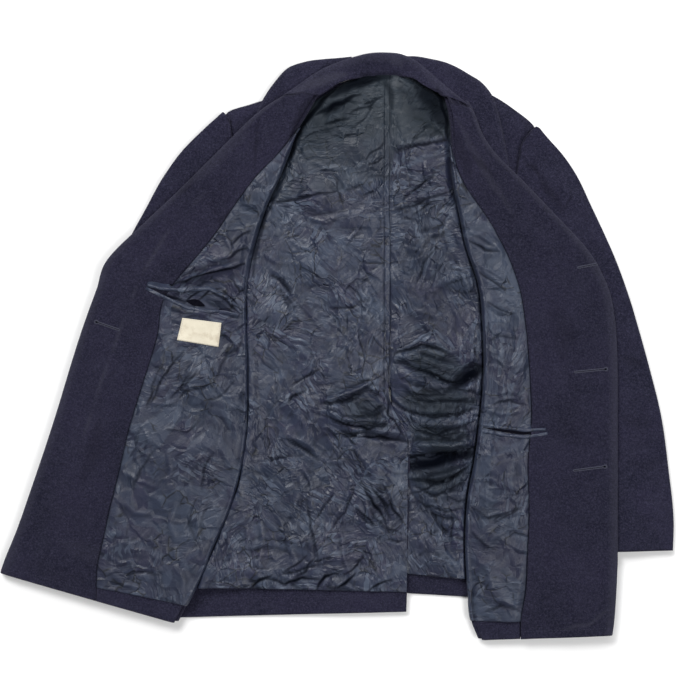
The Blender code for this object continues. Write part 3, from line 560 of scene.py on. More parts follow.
# Painted shade in the hollow under the fold beside the vent, on the right
# lining only.
SHADES_VENT = [
    ([(380, 466), (411, 457), (432, 455), (452, 453), (492, 444)], 4.0, 1.0),
    ([(372, 478), (411, 466), (430, 463), (446, 459), (466, 455),
      (500, 444)], 9.5, 1.0),
    ([(380, 488), (411, 480), (430, 476), (450, 470), (480, 458)], 3.0, 0.6),
]
SHADES_FRONT = [
    ([(174, 286), (196, 278), (214, 272), (236, 268), (252, 261)], 1.5, 1.0),
    ([(252, 261), (257, 272), (262, 282)], 1.6, 1.0),
    ([(222, 262), (234, 255), (249, 247)], 2.4, 0.8),
    ([(232, 246), (240, 237), (251, 231)], 2.0, 0.75),
    ([(190, 303), (198, 303), (205, 307)], 4.4, 1.0),
    ([(160, 293), (172, 297), (186, 302)], 3.0, 0.95),
    ([(206, 296), (220, 304), (236, 314)], 5.0, 0.45),
    ([(184, 303), (192, 296), (202, 291)], 1.4, 0.9),
    ([(200, 300), (210, 291), (221, 288)], 1.2, 0.85),
    ([(212, 292), (226, 301), (240, 314)], 1.3, 0.9),
    ([(222, 289), (234, 300), (243, 315)], 1.2, 0.8),
    ([(206, 310), (222, 311), (238, 316)], 1.1, 0.7),
    ([(252, 282), (250, 320), (246, 350)], 1.2, 0.6),
    ([(184, 350), (172, 366), (162, 380), (152, 402)], 1.1, 0.75),
    ([(192, 372), (182, 386), (172, 398)], 1.0, 0.7),
    ([(198, 370), (188, 382), (180, 390)], 0.9, 0.6),
    ([(160, 370), (153, 388), (148, 408)], 1.1, 0.6),
    ([(230, 344), (224, 362), (216, 380)], 1.0, 0.5),
    ([(200, 420), (188, 431), (168, 429)], 1.2, 0.6),
    ([(214, 452), (204, 470), (202, 490)], 1.2, 0.6),
    ([(154, 452), (141, 470), (135, 488)], 1.2, 0.6),
    ([(196, 500), (190, 520), (196, 540)], 1.1, 0.55),
    ([(130, 573), (146, 570), (160, 574)], 1.4, 0.7),
    ([(458, 196), (464, 226), (468, 262)], 1.4, 0.7),
    ([(467, 240), (484, 250), (498, 252)], 1.4, 0.8),
    ([(478, 272), (492, 281), (505, 291)], 1.3, 0.8),
    ([(488, 302), (500, 311), (514, 313)], 1.3, 0.7),
    ([(486, 342), (500, 335), (517, 338)], 1.1, 0.6),
    ([(492, 405), (508, 400), (523, 404)], 1.3, 0.7),
    ([(472, 506), (487, 517), (506, 513)], 1.4, 0.7),
    ([(494, 521), (507, 513), (520, 508)], 1.3, 0.7),
    ([(472, 531), (482, 543), (496, 549)], 1.3, 0.7),
    ([(486, 611), (500, 605), (518, 609)], 1.4, 0.7),
]
SHADES_WOOL = [
    ([(318, 92), (306, 106), (298, 122), (291, 140), (284, 152)], 6, 0.6),
    ([(437, 86), (444, 110), (450, 135), (455, 160)], 5, 0.65),
    ([(452, 128), (460, 150), (470, 178)], 9, 0.4),
    ([(150, 288), (162, 293), (176, 297), (190, 301)], 3.5, 0.95),
    ([(318, 104), (304, 112), (292, 126)], 5, 0.5),
    ([(282, 96), (298, 94), (313, 95)], 1.0, 0.5),
    ([(444, 98), (453, 104), (472, 108)], 1.0, 0.5),
    ([(468, 154), (480, 164), (494, 176)], 5, 0.4),
    ([(259, 119), (256, 146), (254, 172)], 1.2, 0.4),
    ([(230, 210), (222, 222), (228, 236)], 5, 0.3),
    ([(530, 132), (524, 140), (519, 152), (518, 168)], 1.6, 0.75),
    ([(524, 162), (534, 168), (541, 178)], 4, 0.55),
    ([(538, 172), (548, 190), (562, 206)], 7, 0.45),
    ([(572, 196), (566, 206), (558, 214)], 1.8, 0.5),
    ([(227, 117), (231, 124), (232, 135)], 1.6, 0.75),
    ([(196, 176), (186, 190), (176, 196)], 7, 0.35),
    ([(628, 300), (636, 306), (646, 310)], 7, 0.35),
    ([(622, 356), (634, 362), (648, 366)], 8, 0.35),
    ([(622, 420), (640, 424), (656, 422)], 9, 0.3),
    ([(626, 462), (644, 466), (662, 462)], 8, 0.3),
    ([(100, 420), (96, 450), (84, 480)], 12, 0.3),
    ([(548, 300), (566, 330), (560, 360)], 14, 0.25),
    ([(556, 420), (576, 440), (596, 446)], 12, 0.2),
]

# Painted shade beside the vent's folds: greener, darker and rougher satin. The
# neck's greener cloth is the yoke's own.
GREEN_SHADE_BACK = [
    ([(412, 352), (440, 366), (462, 380)], 26, 0.75),
    ([(404, 402), (440, 404), (474, 400)], 24, 0.8),
    ([(412, 430), (440, 440), (470, 440)], 24, 0.8),
    ([(414, 476), (440, 480), (466, 474)], 22, 0.7),
    ([(344, 402), (366, 412), (386, 428)], 20, 0.6),
]
# Dimmer satin, where less light falls.
DIM_BACK = [
    ([(404, 84), (424, 104), (440, 132)], 34, 0.34),
    ([(352, 96), (330, 116), (306, 146)], 26, 0.26),
    ([(404, 362), (440, 372), (474, 372)], 22, 0.30),
    ([(402, 398), (440, 402), (478, 400)], 24, 0.42),
    ([(412, 424), (440, 430), (476, 430)], 18, 0.34),
    ([(412, 474), (440, 476), (470, 470)], 22, 0.40),
    ([(416, 500), (440, 506), (466, 500)], 20, 0.24),
    ([(340, 400), (364, 406), (386, 412)], 20, 0.30),
    ([(384, 470), (378, 496), (372, 520)], 10, 0.20),
    ([(418, 200), (428, 270), (440, 336)], 36, 0.13),
]
# Painted highlights: pale patches where crushed satin catches the light, and
# the lit tops of the folds.
HIGHLIGHTS_BACK = [
    ([(334, 166), (348, 172), (362, 184)], 9, 0.9),
    ([(350, 184), (338, 192), (326, 190)], 7, 0.7),
    ([(378, 128), (372, 146), (368, 166)], 7, 0.7),
    ([(300, 246), (312, 256), (324, 262)], 8, 0.9),
    ([(322, 226), (338, 236), (346, 250)], 7, 0.7),
    ([(324, 318), (346, 316), (366, 312)], 2.2, 1.0),
    ([(368, 296), (378, 308), (386, 322)], 9, 0.85),
    ([(276, 270), (288, 278), (300, 282)], 7, 0.7),
    ([(306, 300), (318, 314), (330, 330)], 6, 0.7),
    ([(264, 350), (276, 366), (282, 384)], 7, 0.6),
    ([(300, 350), (322, 356), (344, 352)], 6, 0.6),
    ([(354, 352), (372, 360), (384, 372)], 6, 0.7),
    ([(430, 218), (442, 228), (450, 240)], 8, 0.8),
    ([(406, 166), (424, 158), (444, 150)], 5, 0.8),
    ([(418, 196), (434, 184), (446, 178)], 4, 0.7),
    ([(414, 250), (424, 236), (436, 226)], 4, 0.7),
    ([(440, 320), (456, 334), (470, 348)], 6, 0.6),
    ([(398, 356), (416, 358), (432, 363)], 3, 0.5),
    ([(412, 447), (432, 444), (456, 446)], 4.5, 1.0),
    ([(420, 478), (440, 474), (458, 468)], 3, 0.8),
    ([(404, 412), (420, 420), (440, 424)], 3, 0.7),
    ([(404, 362), (424, 368), (440, 376)], 4, 0.7),
    ([(396, 462), (398, 484), (394, 506)], 12, 0.85),
    ([(404, 470), (404, 500), (406, 530)], 6, 0.7),
    ([(328, 412), (344, 420), (362, 422)], 3, 0.6),
    ([(430, 544), (446, 556), (456, 566)], 7, 0.6),
    ([(418, 556), (430, 566), (446, 572)], 7, 0.6),
    ([(250, 500), (258, 524), (256, 548)], 7, 0.5),
    ([(290, 548), (310, 556), (330, 552)], 6, 0.5),
    ([(340, 560), (356, 570), (366, 580)], 6, 0.6),
]
# Paler wool: wear, and painted highlight where the rolls and edges catch the
# light.
PALE_WOOL = [
    ([(290, 96), (308, 86), (330, 78), (346, 74)], 8, 0.7),
    ([(388, 56), (400, 62), (402, 68)], 8, 0.5),
    ([(366, 60), (380, 58), (396, 58)], 6, 0.35),
    ([(455, 118), (470, 146), (488, 178), (512, 214)], 6, 0.4),
    ([(420, 70), (440, 88), (452, 104)], 5, 0.35),
    ([(250, 132), (220, 158), (190, 186)], 8, 0.3),
    ([(60, 540), (110, 560), (150, 580)], 14, 0.2),
    ([(560, 628), (590, 622), (610, 606)], 3, 0.5),
]

# The inner pockets' satin lips, and their mouths, whose shade is painted near
# black.
# path, half_width, lift
JETS = {
    "pocket_left_upper": ([(147, 285), (162, 289), (183, 291), (210, 289),
                           (228, 298), (243, 314)], 2.4, 1.9),
    "pocket_left_lower": ([(146, 288), (158, 294), (173, 301), (189, 308),
                           (206, 311), (224, 312), (241, 316)], 2.4, 1.6),
    "pocket_right_upper": ([(479, 424), (500, 427), (524, 430), (547, 429)],
                           2.4, 1.6),
    "pocket_right_lower": ([(479, 430), (500, 434), (524, 437), (547, 433)],
                           2.4, 1.5),
}
MOUTHS = {
    "mouth_left": ([(186, 301), (192, 302), (198, 303), (206, 306)],
                   4.6, 0.5),
    "mouth_right": ([(482, 427), (500, 430), (524, 433), (545, 431)],
                    2.2, 0.6),
}
LABEL_CORNERS = ((183, 318), (222, 323), (219, 347), (178, 340))
# outer end, inner end
BUTTONHOLES = {
    "buttonhole_right_1": ((598, 264), (577, 268)),
    "buttonhole_right_2": ((605, 369), (574, 372)),
    "buttonhole_right_3": ((604, 466), (573, 470)),
    "buttonhole_left_1": ((97, 322), (120, 330)),
}

WORLD_LIGHT = 0.33
# place, size, power
LIGHTS = {
    "key": ((-1.8, 3.1, 4.6), (2.0, 2.0), 235.0),
    "fill": ((2.8, -0.8, 5.0), (2.4, 2.4), 150.0),
    "top": ((0.5, 4.5, 3.5), (2.4, 1.2), 68.0),
}


def at(place):
    """Millimetres of a place in the photograph's frame."""
    return ((place[0] - MIDDLE[0]) * PIXEL, (MIDDLE[1] - place[1]) * PIXEL)


# ---------------------------------------------------------------- plans

def through(table, count):
    """Rows on a smooth curve through a table's rows, evenly spaced on it."""
    knots = np.array(table, float)
    steps = np.linalg.norm(np.diff(knots[:, :4], axis=0), axis=1)
    places = np.concatenate(([0.0], np.cumsum(steps)))
    slope = np.gradient(knots, places, axis=0)
    wanted = np.linspace(0.0, places[-1], count)
    seg = np.clip(np.searchsorted(places, wanted, side="right") - 1,
                  0, len(places) - 2)
    width = (places[seg + 1] - places[seg])[:, None]
    t = (wanted - places[seg])[:, None] / width
    start, end = knots[seg], knots[seg + 1]
    curve = start * (1 + 2 * t) * (1 - t) ** 2 + end * t * t * (3 - 2 * t)
    return curve + width * (slope[seg] * t * (1 - t) ** 2
                            + slope[seg + 1] * t * t * (t - 1))


def rows_for(table, step):
    """How many rows a table's longer edge takes at a mesh step."""
    knots = np.array(table, float)
    lengths = [np.linalg.norm(np.diff(knots[:, k:k + 2], axis=0), axis=1).sum()
               for k in (0, 2)]
    return int(max(lengths) / step) + 2


def spread(start, end, count):
    """Points between two edge curves: a row for each section."""
    return spread_at(start, end, np.linspace(0.0, 1.0, count))


def spread_at(start, end, shares):
    """Points between two edge curves, at given shares of the way."""
    shares = np.asarray(shares)[None, :, None]
    return start[:, None, :] * (1 - shares) + end[:, None, :] * shares


def unit(vectors):
    return vectors / np.linalg.norm(vectors, axis=-1, keepdims=True)


def curves(table, count):
    """The two edge curves of a table."""
    rows = through(table, count)
    return rows[:, 0:2], rows[:, 2:4]


def smooth_step(values, low, high):
    """From 0 to 1 between two values, with no corner at either."""
    t = np.clip((values - low) / (high - low), 0.0, 1.0)
    return t * t * (3 - 2 * t)


def along(plan, path, closed=False):
    """Distance, side and share of the length to a path's nearest point."""
    path = np.array(path, float)
    if closed:
        path = np.vstack((path, path[:1]))
    steps = np.linalg.norm(np.diff(path, axis=0), axis=1)
    total = steps.sum()
    best = np.full(plan.shape[:-1], 1e9)
    side = np.zeros(plan.shape[:-1])
    share = np.zeros(plan.shape[:-1])
    done = 0.0
    for start, end, length in zip(path[:-1], path[1:], steps):
        way = (end - start) / length
        off = plan - start
        run = np.clip(off @ way, 0.0, length)
        near = off - run[..., None] * way
        far = np.hypot(near[..., 0], near[..., 1])
        closer = far < best
        best = np.where(closer, far, best)
        turn = way[0] * off[..., 1] - way[1] * off[..., 0]
        side = np.where(closer, np.sign(turn), side)
        share = np.where(closer, (done + run) / total, share)
        done += length
    return best, side, share


def inside(plan, outline):
    """Distance inside an outline, below zero outside it."""
    outline = np.array(outline, float)
    far, _, _ = along(plan, outline, closed=True)
    x, y = plan[..., 0], plan[..., 1]
    odd = np.zeros(plan.shape[:-1], bool)
    for (x0, y0), (x1, y1) in zip(outline, np.roll(outline, -1, axis=0)):
        if y0 == y1:
            continue
        crosses = (y0 > y) != (y1 > y)
        odd ^= crosses & (x < (x1 - x0) * (y - y0) / (y1 - y0) + x0)
    return np.where(odd, far, -far)


class Front:
    """One front: where its fold, seam, edge and lining boundary run."""

    def __init__(self, table, step):
        rows = through(table, rows_for(table, step))
        self.fold, self.seam = rows[:, 0:2], rows[:, 2:4]
        self.edge = rows[:, 4:6]
        self.lapel = np.maximum(rows[:, 7:8], EDGE_TURN)
        self.out = unit(self.edge - self.fold)
        self.back = unit(self.seam - self.fold)
        self.width = np.linalg.norm(self.edge - self.fold, axis=1)[:, None]
        self.bound = np.clip(rows[:, 6:7], 0.0, 1.0) * self.width
        self.first = int(np.argmax(self.bound[:, 0] > 1.5))

    def across(self, start, end, step):
        """Plan of the open front between two distances from the fold."""
        count = int(np.max(np.abs(end - start)) / step) + 2
        return spread(self.fold + self.out * start,
                      self.fold + self.out * end, count)


RIGHT = Front(FRONT_RIGHT, 10.0)
LEFT = Front(FRONT_LEFT, 10.0)
FOOT = through(COLLAR_ROLL, 30)[:, 2:4]
OPENING = np.vstack((LEFT.fold[::-1], FOOT[3:-3], RIGHT.fold,
                     [(240, -600), (-260, -600)]))
OUTLINE_RIGHT = np.vstack((RIGHT.fold, RIGHT.edge[::-1]))
OUTLINE_LEFT = np.vstack((LEFT.fold, LEFT.edge[::-1]))


# ---------------------------------------------------------------- relief

def hashed(ix, iy, seed):
    """A number from 0 to 1 for each cell, the same on every run."""
    mixed = (ix * 374761393 + iy * 668265263 + seed * 144665) & 0xffffffff
    mixed = ((mixed ^ (mixed >> 13)) * 1274126177) & 0xffffffff
    return (mixed ^ (mixed >> 16)) / 4294967296.0


def noise(plan, size, seed):
    """Smooth noise from -1 to 1 over a plan, with features of a size."""
    x, y = plan[..., 0] / size, plan[..., 1] / size
    ix, iy = np.floor(x).astype(np.int64), np.floor(y).astype(np.int64)
    fx, fy = x - ix, y - iy
    ux = fx * fx * fx * (fx * (fx * 6 - 15) + 10)
    uy = fy * fy * fy * (fy * (fy * 6 - 15) + 10)
    total = np.zeros(plan.shape[:-1])
    for dx in (0, 1):
        for dy in (0, 1):
            angle = hashed(ix + dx, iy + dy, seed) * math.tau
            pull = np.cos(angle) * (fx - dx) + np.sin(angle) * (fy - dy)
            share = ((ux if dx else 1 - ux) * (uy if dy else 1 - uy))
            total += pull * share
    return total * 1.6


def warped(plan, size, reach, seed):
    """A plan bent by noise of a size, by up to about a reach."""
    shift = np.stack((noise(plan, size, seed), noise(plan, size, seed + 1)),
                     axis=-1)
    return plan + shift * reach


def facets(plan, size, tilt, seed):
    """Flat facets with sharp valleys between them, and a tone for each."""
    x, y = plan[..., 0] / size, plan[..., 1] / size
    ix, iy = np.floor(x).astype(np.int64), np.floor(y).astype(np.int64)
    best = np.full(plan.shape[:-1], -1e9)
    tone = np.zeros(plan.shape[:-1])
    for dx in (-1, 0, 1):
        for dy in (-1, 0, 1):
            cx, cy = ix + dx, iy + dy
            px = x - cx - hashed(cx, cy, seed)
            py = y - cy - hashed(cx, cy, seed + 7)
            angle = hashed(cx, cy, seed + 13) * math.tau
            lean = tilt * (0.4 + hashed(cx, cy, seed + 19))
            height = (lean * (np.cos(angle) * px + np.sin(angle) * py)
                      - 0.45 * (px * px + py * py))
            better = height > best
            best = np.where(better, height, best)
            tone = np.where(better, hashed(cx, cy, seed + 29), tone)
    return best, tone


def creases(plan, table, seed=3):
    """Relief of the listed creases, and the shade in the troughs."""
    relief = np.zeros(plan.shape[:-1])
    shade = np.zeros(plan.shape[:-1])
    bent = warped(plan, 26.0, 2.2, seed)
    for path, half_width, height, lean in table:
        path = np.array([at(place) for place in path])
        reach = half_width * 5 + 6
        low, high = path.min(axis=0) - reach, path.max(axis=0) + reach
        near = ((plan >= low) & (plan <= high)).all(axis=-1)
        if not near.any():
            continue
        far, side, share = along(bent[near], path)
        width = half_width * (1 + 0.55 * lean * side)
        ends = np.clip(np.sin(math.pi * np.clip(share, 0.0, 1.0)), 0.0, 1.0)
        ends = 0.12 + 0.88 * ends ** 0.6
        if height > 0:
            shape = np.exp(-(far / width) ** 2)
        else:
            rim = np.exp(-((far - 2.4 * width) / (1.3 * width)) ** 2)
            shape = np.exp(-(far / width) ** 2) - 0.35 * rim
            dark = -height / 3.2 * np.exp(-(far / (0.75 * width)) ** 2) * ends
            shade[near] = np.maximum(shade[near], np.minimum(dark, 1.0))
        relief[near] += height * shape * ends
    return relief, shade


def shades(plan, table):
    """Shade or light painted along listed paths: path, half width and depth.
    """
    shade = np.zeros(plan.shape[:-1])
    bent = warped(plan, 18.0, 2.5, 17)
    for path, half_width, depth in table:
        path = np.array([at(place) for place in path])
        far, _, share = along(bent, path)
        ends = 0.25 + 0.75 * np.sin(math.pi * np.clip(share, 0.0, 1.0)) ** 0.7
        wide = np.maximum(half_width * ends, THIN_LINE)
        fade = 1 - smooth_step(far / wide, 0.3, 1.5)
        shade = np.maximum(shade, depth * (0.4 + 0.6 * ends) * fade)
    return shade


def crumple(plan, seed):
    """Crumpled satin: facets of three sizes, and a random tone of the larger,
    which the satin shows as painted sheen.
    """
    turn = np.array([[0.9, -0.35], [0.42, 1.1]])
    big = warped(plan, 90.0, 30.0, seed)
    big = warped(big, 34.0, 9.0, seed + 3) @ turn
    first, tone_a = facets(big, 46.0, 0.55, seed)
    second, tone_b = facets(big, 21.0, 0.7, seed + 50)
    upper, _ = facets(big + 17.0, 33.0, 0.55, seed + 90)
    third = 1 - np.abs(noise(warped(plan, 16.0, 5.0, seed + 5), 10.0,
                             seed + 6))
    calm = 0.55 + 0.45 * smooth_step(noise(plan, 120.0, seed + 8), -0.4, 0.4)
    small, _ = facets(warped(plan, 20.0, 6.0, seed + 7) @ turn, 11.0, 0.8,
                      seed + 120)
    relief = calm * (8.0 * first - 6.0 * upper + 3.6 * second + 0.8 * small
                     + 0.3 * third)
    relief = relief - np.percentile(relief, 6)
    return np.maximum(relief, 0.0), 0.6 * tone_a + 0.4 * tone_b


def hollows(z):
    """How deep each place lies below those round it, from 0 to 1."""
    return np.clip((soften(z, HOLLOW_BLUR) - z) / HOLLOW_DEPTH, 0.0, 1.0)


def soften(z, rounds):
    """Blur heights on a grid."""
    for _ in range(rounds):
        padded = np.pad(z, ((1, 1), (0, 0)), mode="edge")
        z = (padded[:-2] + 2 * padded[1:-1] + padded[2:]) / 4
        padded = np.pad(z, ((0, 0), (1, 1)), mode="edge")
        z = (padded[:, :-2] + 2 * padded[:, 1:-1] + padded[:, 2:]) / 4
    return z


# ---------------------------------------------------------------- heights

class Solid:
    """Heights of a part's node, read straight down or straight up."""

    def __init__(self, name):
        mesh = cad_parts[name].data
        self.tree = BVHTree.FromPolygons([v.co for v in mesh.vertices],
                                         [p.vertices for p in mesh.polygons])

    def read(self, plan, start, way):
        """Heights that rays from a start height meet on their way."""
        z = np.full(plan.shape[:2], np.nan)
        for place in np.ndindex(z.shape):
            x, y = plan[place] * MM
            hit = self.tree.ray_cast(Vector((x, y, start)),
                                     Vector((0, 0, way)))
            if hit[0] is not None:
                z[place] = hit[0].z / MM
        return mend(z)

    def top(self, plan, rounds):
        return soften(self.read(plan, 0.2, -1), rounds)

    def bottom(self, plan, rounds):
        return soften(self.read(plan, -0.1, 1), rounds)


def mend(z):
    """Fill heights that no ray found from those beside them."""
    while np.isnan(z).any():
        padded = np.pad(z, 1, constant_values=np.nan)
        around = np.stack((padded[:-2, 1:-1], padded[2:, 1:-1],
                           padded[1:-1, :-2], padded[1:-1, 2:]))
        known = ~np.isnan(around)
        count = known.sum(axis=0)
        total = np.where(known, around, 0.0).sum(axis=0)
        found = np.isnan(z) & (count > 0)
        z = np.where(found, total / np.maximum(count, 1), z)
    return z


def with_height(plan, z):
    """A plan's points with a third coordinate."""
    return np.dstack((plan, z))


def rolled(low, high, outward, reach, off=0.0, count=9):
    """Columns round a rolled edge, from a lower sheet to an upper one."""
    middle, half = (low + high) / 2, (high - low) / 2
    tall = half[:, 2:3]
    columns = []
    for degrees in np.linspace(-ROLL_TURN, ROLL_TURN, count):
        sine = math.sin(math.radians(degrees))
        cosine = math.cos(math.radians(degrees))
        point = middle + half * sine
        point[:, :2] += outward * reach * cosine
        slant = np.hypot(cosine / reach, sine / tall)
        point[:, :2] += outward * off * cosine / reach / slant
        point[:, 2:3] += off * sine / tall / slant
        columns.append(point)
    return np.stack(columns, axis=1)


def level_way(way):
    """A row of directions, levelled and of unit length."""
    way[:, 2] = 0
    return unit(way)


def curl(points, radius):
    """A grid with its last row turned down round an edge."""
    way = level_way(points[-1] - points[-4])
    rows = []
    for degrees in np.linspace(90 / EDGE_ROWS, 100, EDGE_ROWS):
        turn = math.radians(degrees)
        row = points[-1] + way * radius * math.sin(turn)
        row[:, 2] -= radius * (1 - math.cos(turn))
        rows.append(row)
    return np.concatenate((points, np.stack(rows)))


def lengthened(points, length, drop):
    """A grid with its first row drawn on under what lies over it."""
    way = level_way(points[0] - points[3])
    rows = []
    for share in np.linspace(1.0, 1.0 / EDGE_ROWS, EDGE_ROWS):
        row = points[0] + way * length * share
        row[:, 2] -= drop * smooth_step(share, 0.0, 1.0)
        rows.append(row)
    return np.concatenate((np.stack(rows), points))


# ---------------------------------------------------------------- meshes

def add_object(name, data):
    """A new object, linked to the scene."""
    thing = bpy.data.objects.new(name, data)
    bpy.context.scene.collection.objects.link(thing)
    return thing


def add_mesh(name, vertices, faces, material):
    """A smooth-shaded mesh with one material."""
    mesh = bpy.data.meshes.new(name)
    mesh.from_pydata([tuple(v) for v in vertices], [], faces)
    mesh.materials.append(material)
    mesh.shade_smooth()
    return add_object(name, mesh)


def grid_faces(rows, columns, ring=False):
    """Quads of a grid, closed round its columns for a ring."""
    i, j = np.meshgrid(np.arange(rows - 1),
                       np.arange(columns if ring else columns - 1),
                       indexing="ij")
    k = (j + 1) % columns
    quads = np.stack((i * columns + j, i * columns + k,
                      (i + 1) * columns + k, (i + 1) * columns + j), axis=-1)
    return quads.reshape(-1, 4)


def skin_normals(points, ring, flip):
    """Outward unit normals of a grid's skin."""
    if ring:
        across = np.roll(points, -1, axis=1) - np.roll(points, 1, axis=1)
    else:
        across = np.gradient(points, axis=1)
    normals = np.cross(across, np.gradient(points, axis=0))
    size = np.maximum(np.linalg.norm(normals, axis=2, keepdims=True), 1e-6)
    return normals / size * (-1 if flip else 1)


def lowest_near(z, reach):
    """The lowest height within some rows and columns of each place."""
    for axis in (0, 1):
        pad = [(0, 0), (0, 0)]
        pad[axis] = (reach, reach)
        wide = np.pad(z, pad, mode="edge")
        size = z.shape[axis]
        z = np.min([np.take(wide, range(k, k + size), axis=axis)
                    for k in range(2 * reach + 1)], axis=0)
    return z


def marks(count, step):
    """Every step-th index below a count, and always the last."""
    return sorted({*range(0, count - 1, step), count - 1})


def cloth(name, points, thick, material, tone=None, ring=False, flip=None,
          step=4):
    """A closed sheet: a fine outer skin on a grid, and a coarser inner one."""
    points = points.copy()
    points[..., 2] = np.maximum(points[..., 2], OUTER_FLOOR)
    rows, columns = points.shape[:2]
    if flip is None:
        a, b, d = points[0, -2], points[0, -1], points[1, -2]
        flip = np.cross(b - a, d - a)[2] < 0
    normals = skin_normals(points, ring, flip)
    inner = points - normals * thick
    deep = lowest_near(points[..., 2], step) - 0.6 * thick
    inner[..., 2] = np.where(normals[..., 2] > 0.6,
                             np.minimum(inner[..., 2], deep), inner[..., 2])
    inner[..., 2] = np.maximum(inner[..., 2], INNER_FLOOR)
    down = marks(rows, step)
    across = list(range(0, columns, step)) if ring else marks(columns, step)
    used = np.zeros((rows, columns), bool)
    used[np.ix_(down, across)] = True
    used[[0, -1]] = True
    if not ring:
        used[:, [0, -1]] = True
    inner_index = np.cumsum(used.ravel()).reshape(rows, columns) - 1
    inner_index += rows * columns
    vertices = np.concatenate((points.reshape(-1, 3), inner[used]))

    faces = grid_faces(rows, columns, ring).tolist()
    ends = across[1:] + ([columns] if ring else [])
    for r0, r1 in zip(down[:-1], down[1:]):
        for c0, c1 in zip(across, ends):
            top = range(c0, c1) if r0 == 0 else [c0]
            low = range(c1, c0, -1) if r1 == rows - 1 else [c1]
            right = range(r0, r1) if not ring and c1 == columns - 1 else [r0]
            left = range(r1, r0, -1) if not ring and c0 == 0 else [r1]
            loop = ([(r0, c) for c in top] + [(r, c1) for r in right]
                    + [(r1, c) for c in low] + [(r, c0) for r in left])
            faces.append([int(inner_index[r, c % columns])
                          for r, c in reversed(loop)])
    border = []
    for j in range(columns if ring else columns - 1):
        k = (j + 1) % columns
        border += [((0, k), (0, j)), ((rows - 1, j), (rows - 1, k))]
    if not ring:
        for i in range(rows - 1):
            border += [((i, 0), (i + 1, 0)),
                       ((i + 1, columns - 1), (i, columns - 1))]
    for a, b in border:
        faces.append([a[0] * columns + a[1], b[0] * columns + b[1],
                      int(inner_index[b]), int(inner_index[a])])
    if flip:
        faces = [face[::-1] for face in faces]
    thing = add_mesh(name, vertices * MM, faces, material)
    paint = thing.data.color_attributes.new("tone", "FLOAT_COLOR", "POINT")
    values = np.zeros((rows, columns, 4))
    values[..., 3] = 1.0
    if tone is not None:
        values[..., :3] = tone
    values = np.concatenate((values.reshape(-1, 4), values[used]))
    paint.data.foreach_set("color", values.ravel())
    return thing


def as_tone(shape, *values):
    """The three values that are painted on a mesh for its material.

    Satin reads a facet's tone, which is painted sheen, greener cloth with
    painted greener shade, and painted shade; wool reads painted shade, and
    wear with painted highlight, from the second and third.
    """
    return np.stack([np.broadcast_to(np.asarray(value, float), shape)
                     for value in values], axis=-1)


def finish_sheet(thing, nodes):
    """Ride and replaced nodes of a cloth piece."""
    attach(thing, "root")
    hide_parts(*nodes)


# ---------------------------------------------------------------- materials

def new_material(name, **sockets):
    """A material and its shader, with the sockets that are even all over."""
    material = bpy.data.materials.new(name)
    material.use_nodes = True
    shader = material.node_tree.nodes["Principled BSDF"]
    for socket, value in sockets.items():
        shader.inputs[socket.replace("_", " ")].default_value = value
    return material, shader


class Nodes:
    """Short names for adding and linking shader nodes."""

    def __init__(self, material):
        self.tree = material.node_tree
        self.place = self.add("ShaderNodeTexCoord").outputs["Object"]

    def add(self, kind, **values):
        node = self.tree.nodes.new(kind)
        for key, value in values.items():
            setattr(node, key, value)
        return node

    def link(self, start, end):
        self.tree.links.new(start, end)

    def put(self, socket, value):
        if hasattr(value, "is_output"):
            self.link(value, socket)
        else:
            socket.default_value = value

    def noise(self, scale, detail=2.0, rough=0.5, stretch=None, warp=0.0):
        node = self.add("ShaderNodeTexNoise")
        node.inputs["Scale"].default_value = scale
        node.inputs["Detail"].default_value = detail
        node.inputs["Roughness"].default_value = rough
        node.inputs["Distortion"].default_value = warp
        place = self.place
        if stretch is not None:
            mapping = self.add("ShaderNodeMapping")
            mapping.inputs["Scale"].default_value = stretch
            self.link(self.place, mapping.inputs["Vector"])
            place = mapping.outputs["Vector"]
        self.link(place, node.inputs["Vector"])
        return node.outputs["Fac"]

    def voronoi(self, scale, place, feature="F1"):
        node = self.add("ShaderNodeTexVoronoi", feature=feature)
        node.inputs["Scale"].default_value = scale
        self.link(place, node.inputs["Vector"])
        return node

    def math(self, how, a, b):
        node = self.add("ShaderNodeMath", operation=how)
        self.put(node.inputs[0], a)
        self.put(node.inputs[1], b)
        return node.outputs[0]

    def span(self, value, low, high, start=0.0, end=1.0):
        node = self.add("ShaderNodeMapRange")
        for socket, number in zip(("From Min", "From Max", "To Min", "To Max"),
                                  (low, high, start, end)):
            node.inputs[socket].default_value = number
        self.link(value, node.inputs["Value"])
        return node.outputs["Result"]

    def mix(self, share, first, second):
        node = self.add("ShaderNodeMix", data_type="RGBA")
        self.put(node.inputs["Factor"], share)
        self.put(node.inputs[6], first)
        self.put(node.inputs[7], second)
        return node.outputs[2]

    def coats(self, base, *coats):
        """A colour with others mixed over it in turn: share, colour."""
        for share, colour in coats:
            base = self.mix(share, base, (*colour, 1))
        return base

    def bump(self, height, strength, distance, before=None):
        node = self.add("ShaderNodeBump")
        self.put(node.inputs["Strength"], strength)
        node.inputs["Distance"].default_value = distance
        self.link(height, node.inputs["Height"])
        if before is not None:
            self.link(before, node.inputs["Normal"])
        return node.outputs["Normal"]

    def vector(self, how, a, b):
        node = self.add("ShaderNodeVectorMath", operation=how)
        self.put(node.inputs[0], a)
        self.put(node.inputs[1], b)
        return node.outputs[0]

    def dot(self, a, b):
        node = self.add("ShaderNodeVectorMath", operation="DOT_PRODUCT")
        self.link(a, node.inputs[0])
        self.link(b, node.inputs[1])
        return node.outputs["Value"]

    def split(self, colour):
        node = self.add("ShaderNodeSeparateColor")
        self.link(colour, node.inputs["Color"])
        return node.outputs

    def tone(self):
        """The three painted values of `as_tone`."""
        node = self.add("ShaderNodeVertexColor", layer_name="tone")
        return self.split(node.outputs["Color"])


